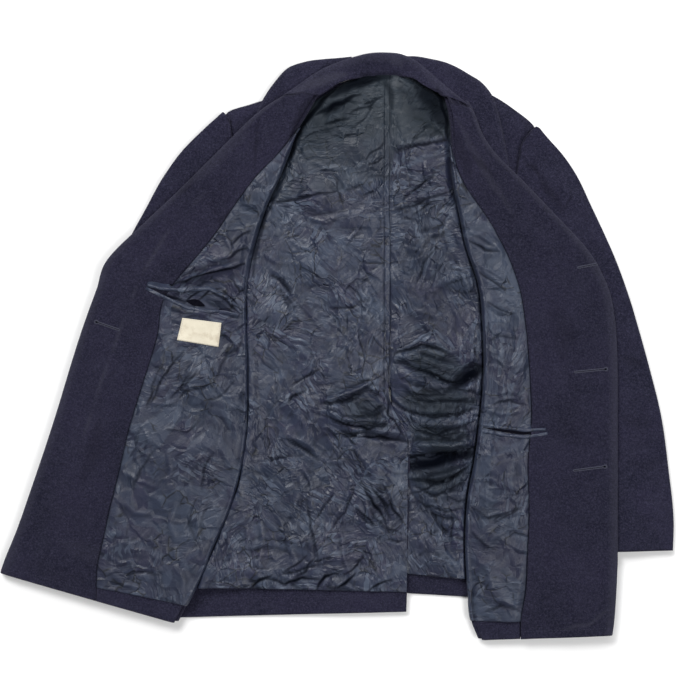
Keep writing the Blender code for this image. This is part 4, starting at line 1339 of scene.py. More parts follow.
def wool_material():
    """Felted navy melton: nap, flecks, lint, paler edges of wear and painted
    highlight, and painted shade.
    """
    material, shader = new_material(
        "wool_melton", Roughness=0.92, Specular_IOR_Level=0.10,
        Sheen_Weight=0.08, Sheen_Roughness=0.45,
        Sheen_Tint=(0.6, 0.6, 0.85, 1))
    n = Nodes(material)
    _, dark, wear_and_highlight = n.tone()
    cloud = n.noise(11.0, 4.0, 0.6)
    fleck = n.noise(900.0, 2.0, 0.7)
    fibre = n.noise(420.0, 3.0, 0.7, stretch=(1.0, 0.35, 1.0), warp=0.6)
    grain = n.noise(400.0, 5.0, 0.85, warp=0.4)
    patch = n.noise(42.0, 4.0, 0.7, warp=0.8)
    spots = n.voronoi(34.0, n.place)
    speck = n.span(spots.outputs["Distance"], 0.016, 0.024, 1.0, 0.0)
    some = n.math("GREATER_THAN", n.split(spots.outputs["Color"])[0], 0.82)
    base = n.coats(
        (0.0072, 0.0080, 0.0200, 1),
        (n.span(cloud, 0.38, 0.62), (0.0168, 0.0154, 0.0365)),
        (n.span(patch, 0.45, 0.62, 0.0, 0.55), (0.0210, 0.0210, 0.0410)),
        (n.span(grain, 0.47, 0.66, 0.0, 1.0), (0.0480, 0.0465, 0.0830)),
        (n.span(grain, 0.30, 0.47, 0.8, 0.0), (0.0040, 0.0040, 0.0100)),
        (n.span(fibre, 0.3, 0.75, 0.0, 0.45), (0.0215, 0.0200, 0.0380)),
        (n.span(fleck, 0.62, 0.8, 0.0, 0.5), (0.050, 0.048, 0.074)),
        # Paler: wear, and painted highlight on the rolled edges.
        (n.math("MULTIPLY", wear_and_highlight, 0.6), (0.062, 0.062, 0.088)),
        # Painted shade.
        (n.math("MULTIPLY", dark, 0.85), (0.0030, 0.0030, 0.0070)),
        (n.math("MULTIPLY", speck, some), (0.42, 0.42, 0.46)))
    n.link(base, shader.inputs["Base Color"])
    soft = n.bump(n.noise(230.0, 4.0, 0.8, warp=0.4), 1.0, 0.0040)
    n.link(n.bump(fibre, 0.6, 0.0006, soft), shader.inputs["Normal"])
    return material


def shard_bump(n, place, distance, strength, before=None):
    """Flat facets, each with its own tilt, as a bump; and their cells."""
    cells = n.voronoi(1.0, place)
    edges = n.voronoi(1.0, place, "DISTANCE_TO_EDGE")
    off = n.vector("SUBTRACT", place, cells.outputs["Position"])
    tilt = n.vector("SUBTRACT", cells.outputs["Color"], (0.5, 0.5, 0.5))
    near = n.span(edges.outputs["Distance"], 0.0, 0.16)
    height = n.math("MULTIPLY", n.dot(tilt, off), near)
    return (n.bump(height, strength, distance, before),
            n.split(cells.outputs["Color"]), edges.outputs["Distance"])


def turned(n, place, zone, scale):
    """Coordinates turned by a zone's angle and stretched to a scale."""
    turn = n.add("ShaderNodeVectorRotate", rotation_type="Z_AXIS")
    n.link(place, turn.inputs["Vector"])
    n.link(n.math("MULTIPLY", zone, math.tau), turn.inputs["Angle"])
    return n.vector("MULTIPLY", turn.outputs["Vector"], scale)


def satin_material(name, crush):
    """Slate satin: planes and shards of crushed cloth with painted sheen and
    painted shade, and a greener yoke.
    """
    material, shader = new_material(
        name, Specular_IOR_Level=0.34, Sheen_Weight=0.03,
        Sheen_Tint=(0.65, 0.75, 1.0, 1))
    n = Nodes(material)
    facet, green, dark = n.tone()
    bend = n.noise(30.0).node.outputs["Color"]
    bent = n.vector("ADD", n.place,
                    n.vector("MULTIPLY", bend, (0.016, 0.016, 0.016)))
    zone = n.split(n.voronoi(19.0, bent).outputs["Color"])
    busy = n.span(n.noise(14.0, 3.0, 0.6, warp=1.0), 0.42, 0.57)
    size = 0.62 + 0.38 * crush
    planes = turned(n, bent, zone[2], (58.0 * size, 38.0 * size, 58.0 * size))
    large, plane, edge = shard_bump(n, planes, 0.0072 / size,
                                    n.span(busy, 0.0, 1.0, 0.5, 1.0))
    needles = turned(n, bent, zone[0], (215.0, 40.0, 215.0))
    fine, shard, _ = shard_bump(n, needles, 0.0028 * (0.3 + 0.7 * crush),
                                n.span(busy, 0.0, 1.0, 0.22, 1.0), large)

    cloud = n.noise(9.0, 3.0, 0.55, warp=0.8)
    # Planes, zones and shards lighter or darker at random: painted sheen and
    # painted shade of the crushed cloth.
    plane_sheen = n.math("GREATER_THAN", plane[1], 0.55)
    darker_zone = n.math("GREATER_THAN", zone[1], 0.62)
    pale = n.span(shard[1], 0.55, 0.90, 0.0, 0.45 + 0.5 * crush)
    dim = n.span(shard[2], 0.65, 0.95, 0.0, 0.25 + 0.4 * crush)
    some = n.span(n.noise(24.0, 2.0, 0.6), 0.53, 0.59)
    # Dark lines along the shards' edges: painted shade in fine creases.
    line = n.math("MULTIPLY", n.span(edge, 0.012, 0.05, 0.85, 0.0), some)
    base = n.coats(
        (0.0141, 0.0202, 0.0405, 1),
        (n.span(cloud, 0.40, 0.62), (0.0180, 0.0197, 0.0450)),
        (n.math("MULTIPLY", plane_sheen, 0.6), (0.0214, 0.0297, 0.0545)),
        (n.math("MULTIPLY", darker_zone, 0.5), (0.0149, 0.0165, 0.0362)),
        (n.math("MULTIPLY", pale, busy), (0.0602, 0.0757, 0.1130)),
        (dim, (0.0108, 0.0143, 0.0290)),
        # Facet tone: painted sheen and painted highlights.
        (n.span(facet, 0.42, 1.0, 0.0, 0.75), (0.0451, 0.0592, 0.0930)),
        (line, (0.0033, 0.0049, 0.0105)),
        # Greener: the yoke's cloth, and painted greener shade by the folds.
        (n.math("MULTIPLY", green, 0.78), (0.0118, 0.0199, 0.0275)),
        # Near black: painted shade.
        (n.math("MULTIPLY", dark, 0.96), (0.0008, 0.0011, 0.0024)))
    n.link(base, shader.inputs["Base Color"])
    rough = n.span(n.noise(60.0), 0.3, 0.7, 0.33, 0.46)
    rough = n.math("ADD", rough, n.math("MULTIPLY", green, 0.12))
    rough = n.math("ADD", rough, n.math("MULTIPLY", dark, 0.4))
    n.link(rough, shader.inputs["Roughness"])
    # No specular reflection where the shade is painted.
    n.link(n.mix(dark, (1.0, 1.0, 1.0, 1), (0.0, 0.0, 0.0, 1)),
           shader.inputs["Specular Tint"])
    ripple = n.bump(n.noise(230.0, 3.0, 0.6, warp=1.4), 0.35, 0.0010, fine)
    weave = n.bump(n.noise(1500.0, 1.0, 0.5, stretch=(1.0, 0.2, 1.0)),
                   0.12, 0.0002, ripple)
    n.link(weave, shader.inputs["Normal"])
    return material


def label_material():
    """Cream cotton tape with faint stains."""
    material, shader = new_material("label_cotton", Roughness=0.85,
                                    Specular_IOR_Level=0.2)
    n = Nodes(material)
    stain = n.span(n.noise(45.0, 4.0, 0.75), 0.52, 0.68, 0.0, 0.6)
    base = n.coats((0.56, 0.51, 0.40, 1),
                   (n.noise(60.0, 3.0, 0.6), (0.72, 0.67, 0.55)),
                   (stain, (0.42, 0.36, 0.27)))
    n.link(base, shader.inputs["Base Color"])
    n.link(n.bump(n.noise(900.0, 1.0, 0.5), 0.3, 0.0003),
           shader.inputs["Normal"])
    return material


def thread_material(name, dark, pale):
    """Twisted thread between two tones."""
    material, shader = new_material(name, Roughness=0.7,
                                    Specular_IOR_Level=0.25)
    n = Nodes(material)
    n.link(n.mix(n.noise(700.0), dark, pale), shader.inputs["Base Color"])
    n.link(n.bump(n.noise(2600.0), 0.4, 0.0002), shader.inputs["Normal"])
    return material


def plastic_material():
    """Black plastic, a little cloudy."""
    material, shader = new_material("button_black")
    n = Nodes(material)
    base = n.mix(n.noise(90.0, 4.0, 0.6), (0.010, 0.010, 0.013, 1),
                 (0.022, 0.021, 0.026, 1))
    n.link(base, shader.inputs["Base Color"])
    n.link(n.span(n.noise(240.0, 3.0), 0.3, 0.7, 0.28, 0.45),
           shader.inputs["Roughness"])
    n.link(n.bump(n.noise(500.0), 0.1, 0.0002), shader.inputs["Normal"])
    return material


def hollow_shade_material():
    """Painted shade: the near black inside a pocket's mouth and a buttonhole's
    slit.
    """
    material, shader = new_material("hollow_painted_shade", Roughness=1.0,
                                    Specular_IOR_Level=0.0)
    n = Nodes(material)
    n.link(n.mix(n.noise(300.0), (0.002, 0.002, 0.004, 1),
                 (0.006, 0.006, 0.010, 1)), shader.inputs["Base Color"])
    return material


WOOL_CLOTH = wool_material()
CRUSHED_SATIN = satin_material("satin_crushed", 1.0)
CALM_SATIN = satin_material("satin_calm", 0.45)
LABEL_CLOTH = label_material()
PLASTIC = plastic_material()
HOLLOW_SHADE = hollow_shade_material()
NAVY_THREAD = thread_material("thread_navy", (0.014, 0.014, 0.030, 1),
                              (0.045, 0.045, 0.080, 1))
HOLE_THREAD = thread_material("thread_hole", (0.024, 0.025, 0.045, 1),
                              (0.085, 0.088, 0.125, 1))
PALE_THREAD = thread_material("thread_pale", (0.30, 0.28, 0.27, 1),
                              (0.55, 0.52, 0.50, 1))


# ---------------------------------------------------------------- pieces

def wool_relief(plan, table, seed, amount=1.0):
    """Slow waves of thick wool, with the creases of a table."""
    waves = 0.9 * noise(plan, 130.0, seed) + 0.8 * noise(plan, 60.0, seed + 1)
    waves += 0.3 * noise(plan, 26.0, seed + 4)
    waves += 0.16 * noise(plan, 12.0, seed + 2)
    return amount * waves + creases(plan, table, seed)[0]


def build_back(side, table):
    """The shell of a back panel, with its hem turned up."""
    shell, hem = Solid(f"back_{side}"), Solid(f"hem_{side}")
    left, right = curves(table, rows_for(table, PLAIN))
    plan = spread(left, right, int(BACK_WIDTH / PLAIN))
    low = with_height(plan, shell.bottom(plan, 3))
    upward = unit(plan[-4] - plan[-1])
    strip = np.stack([plan[-1] + upward * HEM_TURN * share
                      for share in np.linspace(0.03, 1.0, 14)])
    strip_z = hem.top(strip, 2) + 0.25 * noise(strip, 20.0, 5)
    strip = with_height(strip, strip_z)
    edge = rolled(low[-1], strip[0], -upward, 3.2, count=7).transpose(1, 0, 2)
    points = np.concatenate((low, edge, strip))
    thing = cloth(f"back_{side}_shell", points, WOOL, WOOL_CLOTH,
                  flip=starts_low(points))
    finish_sheet(thing, (f"back_{side}", f"hem_{side}"))
    stitches(f"hem_stitches_back_{side}",
             (plan[-1] + upward * BACK_HEM_STITCHES)[3:-3], Skin(points))


def back_lining_plan(side, table):
    """A back lining's plan, with finer columns beside the centre seam."""
    left, right = curves(table, rows_for(table, FINE))
    near = SEAM_BAND / LINING_WIDTHS[side]
    shares = np.concatenate((np.arange(0, near, near / 16),
                             np.linspace(near, 1, int(14 / near))))
    if side == "left":
        return spread_at(left, right + [SEAM_PAST, 0], 1 - shares[::-1])
    left = left - [SEAM_UNDER, 0] * (left[:, 1:2] > VENT_TOP)
    return spread_at(left, right, shares)


def fold_lift(plan, room):
    """How the lining rises to the inner folds, most at the lower left."""
    x, y = plan[..., 0], plan[..., 1]
    below = (1 - smooth_step(y, 40.0, 130.0)) * (x < 60)
    under = np.clip(0.7 + 1.3 * noise(plan, 60.0, 91), 0.0, 1.0)
    start = -1.5 - 2.6 * below * under
    lift = smooth_step(room, start, start + 4.0)
    lift *= np.exp(-np.maximum(room - 3.0, 0) / (15.0 + 17.0 * below))
    lift = (FOLD_LIFT + FOLD_LIFT_LOW * below) * lift
    return lift * (1 - smooth_step(y, 150.0, 230.0))


def build_back_lining(side, table, folds, seed):
    """A back lining: crumples, listed folds, the pleat and the shade."""
    solid = Solid(f"back_lining_{side}")
    plan = back_lining_plan(side, table)
    x, y = plan[..., 0], plan[..., 1]
    room = inside(plan, OPENING)
    share = smooth_step(room, 0.0, CRUMPLE_EDGE)
    relief, tone = crumple(plan, seed)
    drop, shade = creases(plan, folds, seed)
    above = smooth_step(y, *PLEAT_END)
    off = x - PLEAT_X + 1.2 * noise(plan, 60.0, 90)
    centre = 1 - above * np.exp(-(off / 8.0) ** 2)
    z = solid.top(plan, 5) + share * (0.8 + relief * centre + 1.25 * drop)
    z += fold_lift(plan, room)
    pleat = smooth_step(off, -9.0, -7.6) - smooth_step(off, -1.6, 0.0)
    z += above * share * (1.3 * pleat - 0.6 * np.exp(-(off / 1.6) ** 2)
                          - 0.5 * np.exp(-((off + 9.5) / 1.4) ** 2))
    z = np.maximum(z, solid.top(plan, 2) - 0.1 - HOLLOW_FLOOR * share)
    if side == "right":
        z = z - 1.6 * above * smooth_step(off, 0.5, -2.0)

    # Painted shade: in the creases, along the listed paths and in the hollows.
    shade = np.maximum(0.8 * shade, shades(plan, SHADES_BACK))
    if side == "right":
        shade = np.maximum(shade, shades(plan, SHADES_VENT))
    shade = np.maximum(shade, 0.7 * hollows(z))
    # Painted shade along the edge of the opening beside the inner folds,
    # fainter at the lower left.
    faint = (x < 60) & (y < 90)
    edge = np.where(faint, 0.1, 0.5) * np.exp(-(room / 1.8) ** 2)
    shade = np.maximum(shade, edge)
    dim = shades(plan, DIM_BACK)
    shade = shade + dim * (1 - shade)
    # Painted highlights raise the facet tone, less where the satin is dim.
    tone = 0.78 * tone + 0.6 * shades(plan, HIGHLIGHTS_BACK) * (1 - dim)
    # Greener: the yoke's cloth, and painted greener shade beside the vent's
    # folds.
    darker_zone = np.maximum(yoke_share(plan), shades(plan, GREEN_SHADE_BACK))
    tones = as_tone(z.shape, tone, darker_zone, shade)
    points = lengthened(curl(with_height(plan, z), BACK_CURL), 22.0, 5.0)
    tones = np.concatenate((np.repeat(tones[:1], EDGE_ROWS, axis=0), tones,
                            np.repeat(tones[-1:], EDGE_ROWS, axis=0)))
    thing = cloth(f"lining_back_{side}", points, LINING, CRUSHED_SATIN, tones)
    finish_sheet(thing, (f"back_lining_{side}",))


def starts_low(points):
    """Whether a grid that starts with its lower skin has faces to turn."""
    a, b, d = points[0, 0], points[0, 1], points[1, 0]
    return np.cross(b - a, d - a)[2] > 0


def yoke_share(plan):
    """How far a place lies in the greener cloth below the neck."""
    x, y = plan[..., 0], plan[..., 1]
    line = np.interp(x, [-93, -40, 4, 40, 74, 82, 158],
                     [202, 212, 219, 228, 232, 276, 293])
    line = line + 4.0 * noise(plan, 30.0, 77)
    share = smooth_step(y - line, -6.0, 10.0)
    return share * (0.45 + 0.55 * smooth_step(y, 240.0, 330.0))


def waves_start(front, step):
    """Rows' share of waves: none at the shoulder, where the layers meet."""
    return smooth_step(np.arange(len(front.fold))[:, None] * step,
                       *WAVES_START)


def build_front_shell(side, front, folds, seed):
    """A front's shell, from the side seam round the fold to the edge."""
    shell = Solid(f"front_{side}")
    low = spread(front.seam, front.fold + front.back * LINING_INSET,
                 int(PANEL_WIDTH / COARSE))
    low = with_height(low, shell.bottom(low, 4))
    high = front.across(LINING_INSET, front.width - EDGE_REACH - 1.0, COARSE)
    waves = wool_relief(high, folds, seed)
    start = waves_start(front, PLAIN)
    hidden = smooth_step(np.arange(high.shape[1])[None, :] * COARSE, 0.0, 12.0)
    hidden = hidden * (3.0 - 1.8 * start)
    high = with_height(high, shell.top(high, 4) + waves * start - hidden)
    arc = rolled(low[:, -1], high[:, 0], -front.out, FOLD_REACH)
    points = np.concatenate((low, arc, high), axis=1)
    thing = cloth(f"front_{side}_shell", points, WOOL, WOOL_CLOTH)
    finish_sheet(thing, (f"front_{side}",))


def build_facing(side, front, folds, seed):
    """A facing, from the lapel's end round the edge to the lining."""
    facing = Solid(f"facing_{side}")
    tip = front.edge - front.out * (EDGE_REACH + front.lapel)
    root = front.edge - front.out * EDGE_REACH
    low = spread(tip, root, 12)
    low = with_height(low, facing.bottom(low, 4))
    inner = np.maximum(front.bound + SEAM, LINING_INSET)
    face = front.across(front.width - EDGE_REACH, inner, FINE + 0.5)
    waves = wool_relief(face, folds, seed)
    high = with_height(face, facing.top(face, 6)
                       + waves * waves_start(front, FINE) + 0.15)
    arc = rolled(low[:, -1], high[:, 0], front.out, EDGE_REACH)
    points = np.concatenate((low, arc, high), axis=1)
    points = lengthened(curl(points, WOOL_CURL), 9.0, 2.4)
    plan = points[..., :2]
    wear_and_highlight = np.zeros(plan.shape[:2])
    # A paler band round the front edge: wear, and painted highlight on the
    # roll.
    wear_and_highlight[:, low.shape[1]:low.shape[1] + 12] = 0.5
    wear_and_highlight = soften(wear_and_highlight, 3) + 0.55 * wear_line(plan, side)
    wear_and_highlight = np.maximum(wear_and_highlight, shades(plan, PALE_WOOL))
    # Painted shade: a little over the whole facing, and deep along its folds
    # and seams.
    dark = 0.14 + 0.86 * shades(plan, SHADES_WOOL)
    thing = cloth(f"facing_{side}_shell", points, FACING, WOOL_CLOTH,
                  as_tone(wear_and_highlight.shape, 0.5, dark, wear_and_highlight))
    finish_sheet(thing, (f"facing_{side}",))
    skins[f"facing_{side}"] = Skin(points)


def build_front_hem(side, front, folds, seed):
    """The hem of a front, below its lining."""
    hem = Solid(f"front_hem_{side}")
    strip = front.across(LINING_INSET + 0.5, front.bound - SEAM, FINE)
    strip = strip[-int(2 * HEM_TURN / FINE):]
    near = np.arange(strip.shape[1])[None, :] * FINE
    z = hem.top(strip, 2) + wool_relief(strip, folds, seed) + 0.1
    z = z - 2.4 * (1 - smooth_step(near, 0.0, 7.0))
    points = curl(with_height(strip, z), WOOL_CURL)
    thing = cloth(f"front_hem_{side}_shell", points, WOOL, WOOL_CLOTH)
    finish_sheet(thing, (f"front_hem_{side}",))


def build_front_lining(side, front, folds, lining_folds, seed):
    """A front's lining, from under the fold, round it to the facing."""
    shell, lining = Solid(f"front_{side}"), Solid(f"front_lining_{side}")
    rows = slice(front.first, len(front.fold) - int(26 / FINE))
    under = spread(front.fold + front.back * (LINING_INSET + LINING_WRAP),
                   front.fold + front.back * LINING_INSET, 7)[rows]
    under = with_height(under, lining.bottom(under, 4))
    inset = np.minimum(LINING_INSET, 0.5 * front.bound)
    width = np.maximum(front.bound - SEAM - inset, 0.3)
    flat = front.across(inset, inset + width, FINE)[rows]
    near = np.linspace(0.0, 1.0, flat.shape[1])[None, :]
    width, inset = width[rows], inset[rows]
    from_fold, from_seam = near * width, (1 - near) * width
    share = (0.4 + 0.6 * smooth_step(from_fold, 0.0, 8.0))
    share = share * smooth_step(from_seam, 0.0, 10.0)
    share = share * smooth_step(width, 0.0, 40.0)
    relief, tone = crumple(flat, seed + 60)
    drop, shade = creases(flat, lining_folds, seed)
    puff = 0.7 * np.exp(-((from_seam - 7.0) / 5.0) ** 2)
    z = np.maximum(lining.top(flat, 5), shell.top(flat, 3) + FOLD_GAP + 0.4)
    waves = wool_relief(flat, folds, seed)
    z = z + waves * waves_start(front, FINE)[rows] + 0.2
    z += share * (relief * 0.5 + np.maximum(drop, -1.6) + puff)
    z += 0.8 * smooth_step(width, 30.0, 5.0)
    high = with_height(flat, z)
    arc = rolled(under[:, -1], high[:, 0], -front.out[rows],
                 FOLD_REACH - (LINING_INSET - inset) / 2,
                 LINING + FOLD_GAP / 2)
    points = curl(np.concatenate((under, arc, high), axis=1), LINING_CURL)

    # Painted shade: in the creases and hollows, along the seam with the
    # facing, and a little over the whole strip.
    shade = np.maximum(0.8 * shade, shades(flat, SHADES_FRONT))
    shade = np.maximum(shade, 0.6 * hollows(z))
    shade = np.maximum(shade, 0.5 * np.exp(-(from_seam / 1.4) ** 2))
    tones = np.concatenate((np.full(under.shape[:2], 0.4),
                            np.full(arc.shape[:2], 0.5), tone), axis=1)
    dark = np.concatenate((np.zeros(under.shape[:2]), np.zeros(arc.shape[:2]),
                           0.08 + 0.92 * shade), axis=1)
    tones = as_tone(tones.shape, tones, 0.0, dark)
    tones = np.concatenate((tones, np.repeat(tones[-1:], EDGE_ROWS, axis=0)))
    thing = cloth(f"lining_front_{side}", points, LINING, CALM_SATIN, tones)
    finish_sheet(thing, (f"front_lining_{side}",))
    skins[f"lining_{side}"] = Skin(points)


def build_front(side, table, folds, lining_folds, seed):
    """One folded front, from its shell up to its lining."""
    build_front_shell(side, Front(table, PLAIN), folds, seed)
    front = Front(table, FINE)
    build_facing(side, front, folds, seed)
    build_front_hem(side, front, folds, seed)
    build_front_lining(side, front, folds, lining_folds, seed)


def wear_line(plan, side):
    """The pale line along the left facing, where a fold was worn."""
    if side == "right":
        return np.zeros(plan.shape[:-1])
    path = [at(place) for place in CREASES_WOOL_LEFT[0][0]]
    far, _, share = along(plan, path)
    broken = smooth_step(noise(plan, 40.0, 88), -0.5, 0.4)
    return np.exp(-(far / 2.4) ** 2) * broken * smooth_step(share, 0.0, 0.1)


class Skin:
    """The visible skin of a finished piece, to set small details on."""

    def __init__(self, points):
        rows, columns = points.shape[:2]
        self.tree = BVHTree.FromPolygons(
            [tuple(p) for p in points.reshape(-1, 3)],
            grid_faces(rows, columns).tolist())

    def hit(self, x, y):
        """Height and upward normal of the skin."""
        found = self.tree.ray_cast(Vector((x, y, 200)), Vector((0, 0, -1)))
        if found[0] is None:
            return None, Vector((0, 0, 1))
        normal = found[1] if found[1].z > 0 else -found[1]
        return found[0].z, normal

    def heights(self, plan, lift):
        """Heights of the skin over a plan, raised by a lift."""
        z = np.full(plan.shape[:2], np.nan)
        for place in np.ndindex(z.shape):
            found, _ = self.hit(*plan[place])
            if found is not None:
                z[place] = found + lift
        return mend(z)


# The skins that small details are set on, by the piece.
skins = {}


def build_sleeve(side, table, folds, seed):
    """A sleeve as one flat tube, from the armhole to the open cuff."""
    top, under = Solid(f"sleeve_{side}_top"), Solid(f"sleeve_{side}_under")
    body, outer = curves(table, rows_for(table, PLAIN))
    out = unit(outer - body)
    reach = 3.0
    plan = spread(body + out * reach, outer - out * reach,
                  int(PANEL_WIDTH / PLAIN))
    low = with_height(plan, under.bottom(plan, 4))
    outline = OUTLINE_RIGHT if side == "right" else OUTLINE_LEFT
    free = smooth_step(-inside(plan, outline), 2.0, 18.0)
    z = top.top(plan, 5)
    z += free * (wool_relief(plan, folds, seed, 1.4) + 1.0)
    high = with_height(plan, z)
    right = rolled(low[:, -1], high[:, -1], out, reach, count=7)
    left = rolled(high[:, 0], low[:, 0], -out, reach, count=7)
    points = np.concatenate((low, right, high[:, ::-1], left), axis=1)
    # Painted shade in the sleeve's folds, from the wool's shade table.
    thing = cloth(f"sleeve_{side}", points, WOOL * 0.9, WOOL_CLOTH,
                  as_tone(points.shape[:2], 0.5,
                          shades(points[..., :2], SHADES_WOOL), 0.0),
                  ring=True, flip=starts_low(points))
    finish_sheet(thing, (f"sleeve_{side}_top", f"sleeve_{side}_under"))


def build_collar():
    """The collar's stand and fall, folded round the roll line."""
    solid = Solid("collar")
    rows = through(COLLAR_ROLL, rows_for(COLLAR_ROLL, FINE))
    roll, foot = rows[:, 0:2] * COLLAR_PULL, rows[:, 2:4] * COLLAR_PULL
    inward = unit(foot - roll)
    number = np.arange(len(roll))[:, None]
    from_end = np.minimum(number, len(roll) - 1 - number)
    reach = (EDGE_REACH
             + (ROLL_REACH - EDGE_REACH) * smooth_step(from_end, 0, 12))
    middle = roll + inward * reach
    end = middle + inward * np.maximum(rows[:, 4:5], EDGE_TURN)
    fall = spread(end, middle, 14)
    stand = spread(middle, foot, 16)
    low = with_height(fall, solid.bottom(fall, 3))
    ease = 0.5 * noise(stand, 40.0, 3) + 0.15 * noise(stand, 14.0, 4)
    high = with_height(stand, solid.top(stand, 5) + ease)
    for facing, ends in (("facing_left", slice(None, 12)),
                         ("facing_right", slice(-12, None))):
        face = Solid(facing).top(stand[ends] - [0, 10], 2)
        near = np.linspace(0, 1, 12)[:, None]
        if facing == "facing_right":
            near = near[::-1]
        blend = smooth_step(near, 0.0, 1.0)
        z = high[ends][..., 2]
        high[ends, :, 2] = z * blend + (face + 0.2) * (1 - blend)
    arc = rolled(low[:, -1], high[:, 0], -inward, reach, count=13)
    points = np.concatenate((low, arc, high), axis=1)
    wear_and_highlight = np.zeros(points.shape[:2])
    # A paler band along the roll: wear, and painted highlight.
    wear_and_highlight[:, low.shape[1] + 5:low.shape[1] + 16] = 0.3
    wear_and_highlight = np.maximum(soften(wear_and_highlight, 3), shades(points[..., :2], PALE_WOOL))
    # Painted shade along the collar's folds.
    dark = shades(points[..., :2], SHADES_WOOL)
    thing = cloth("collar_stand_and_fall", points, COLLAR, WOOL_CLOTH,
                  as_tone(wear_and_highlight.shape, 0.5, dark, wear_and_highlight))
    finish_sheet(thing, ("collar",))


def build_leaves():
    """The ends of the collar's fall, face up over the shoulders."""
    for side, table in (("right", LEAF_RIGHT), ("left", LEAF_LEFT)):
        solid = Solid(f"collar_fall_{side}")
        inner, outer = curves(table, rows_for(table, FINE))
        plan = spread(inner, outer, 18)
        z = solid.top(plan, 4) + 0.5 * noise(plan, 50.0, 9)
        edge = smooth_step(np.linspace(45, 0, 18)[None, :], 0.0, 5.0)
        z = z - 1.1 * (1 - edge)
        # A paler outer edge where the leaf rolls down: wear, and painted
        # highlight.
        wear_and_highlight = np.broadcast_to(0.4 * (1 - edge), z.shape)
        points = with_height(plan, z)
        thing = cloth(f"collar_leaf_{side}", points, COLLAR, WOOL_CLOTH,
                      as_tone(z.shape, 0.5, 0.0, wear_and_highlight))
        finish_sheet(thing, (f"collar_fall_{side}",))
        skins[f"leaf_{side}"] = Skin(points)


# ---------------------------------------------------------------- details

def beads(name, places, material):
    """One mesh of many small stitches: middle, way, half length, radius."""
    shape = bmesh.new()
    for middle, way, half, radius in places:
        way = Vector(way).normalized()
        turn = way.to_track_quat("X", "Z")
        made = bmesh.ops.create_uvsphere(shape, u_segments=6, v_segments=4,
                                         radius=1.0)
        for vertex in made["verts"]:
            local = Vector((vertex.co.z * half, vertex.co.x * radius,
                            vertex.co.y * radius))
            vertex.co = (Vector(middle) + turn @ local) * MM
    mesh = bpy.data.meshes.new(name)
    shape.to_mesh(mesh)
    shape.free()
    mesh.materials.append(material)
    mesh.shade_smooth()
    thing = add_object(name, mesh)
    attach(thing, "root")


def evenly(path, pitch):
    """Points a pitch apart along a path, and the way at each."""
    path = np.array(path, float)
    steps = np.linalg.norm(np.diff(path, axis=0), axis=1)
    places = np.concatenate(([0.0], np.cumsum(steps)))
    wanted = np.arange(pitch / 2, places[-1], pitch)
    points, ahead, behind = (
        np.stack([np.interp(wanted + step, places, path[:, k])
                  for k in (0, 1)], axis=1) for step in (0.0, 1.0, -1.0))
    return points, unit(ahead - behind)


def stitches(name, path, skin):
    """A row of machine stitches, half sunk into the cloth."""
    places = []
    for (x, y), way in zip(*evenly(path, STITCH_PITCH)):
        z, normal = skin.hit(x, y)
        if z is None:
            continue
        way = Vector((way[0], way[1], 0))
        way = way - normal * way.dot(normal)
        places.append(((x, y, z + 0.05), way, STITCH_HALF, STITCH_RADIUS))
    beads(name, places, NAVY_THREAD)


def buttonhole(name, outer, inner, skin):
    """A worked keyhole: stitches across its rim round a slit painted near
    black as shade.
    """
    outer, inner = np.array(at(outer)), np.array(at(inner))
    way = unit(inner - outer)
    side = np.array([-way[1], way[0]])
    length = np.linalg.norm(inner - outer)
    rim = []
    for degrees in range(-140, 141, 20):
        turn = math.radians(degrees)
        rim.append(outer - way * EYE_RADIUS * math.cos(turn)
                   + side * EYE_RADIUS * math.sin(turn))
    slot = ([outer + way * run + side * SLOT_HALF for run in
             np.arange(EYE_LENGTH, length, 1.3)]
            + [inner + way * SLOT_HALF]
            + [outer + way * run - side * SLOT_HALF for run in
               np.arange(length, EYE_LENGTH, -1.3)])
    path = np.array(slot + rim)
    places = []
    for (x, y), run in zip(*evenly(np.vstack((path, path[:1])), RIM_PITCH)):
        z, _ = skin.hit(x, y)
        if z is None:
            continue
        outward = (-run[1], run[0], 0)
        places.append(((x, y, z + 0.25), outward, 1.25, 0.42))
    beads(name, places, HOLE_THREAD)
    # Near-black beads paint the shade in the slit.
    dark = []
    for run in np.arange(0.0, length, 0.8):
        x, y = outer + way * run
        z, _ = skin.hit(x, y)
        if z is not None:
            wide = 1.5 if run < 2.2 else 0.55
            dark.append(((x, y, z + 0.2), (way[0], way[1], 0), 0.9, wide))
    beads(name + "_slit", dark, HOLLOW_SHADE)


def lengthwise(path):
    """Points along a path in the photograph's frame, and the way across."""
    points, way = evenly([at(place) for place in path], JET_PITCH)
    return points, np.stack((-way[:, 1], way[:, 0]), axis=1)


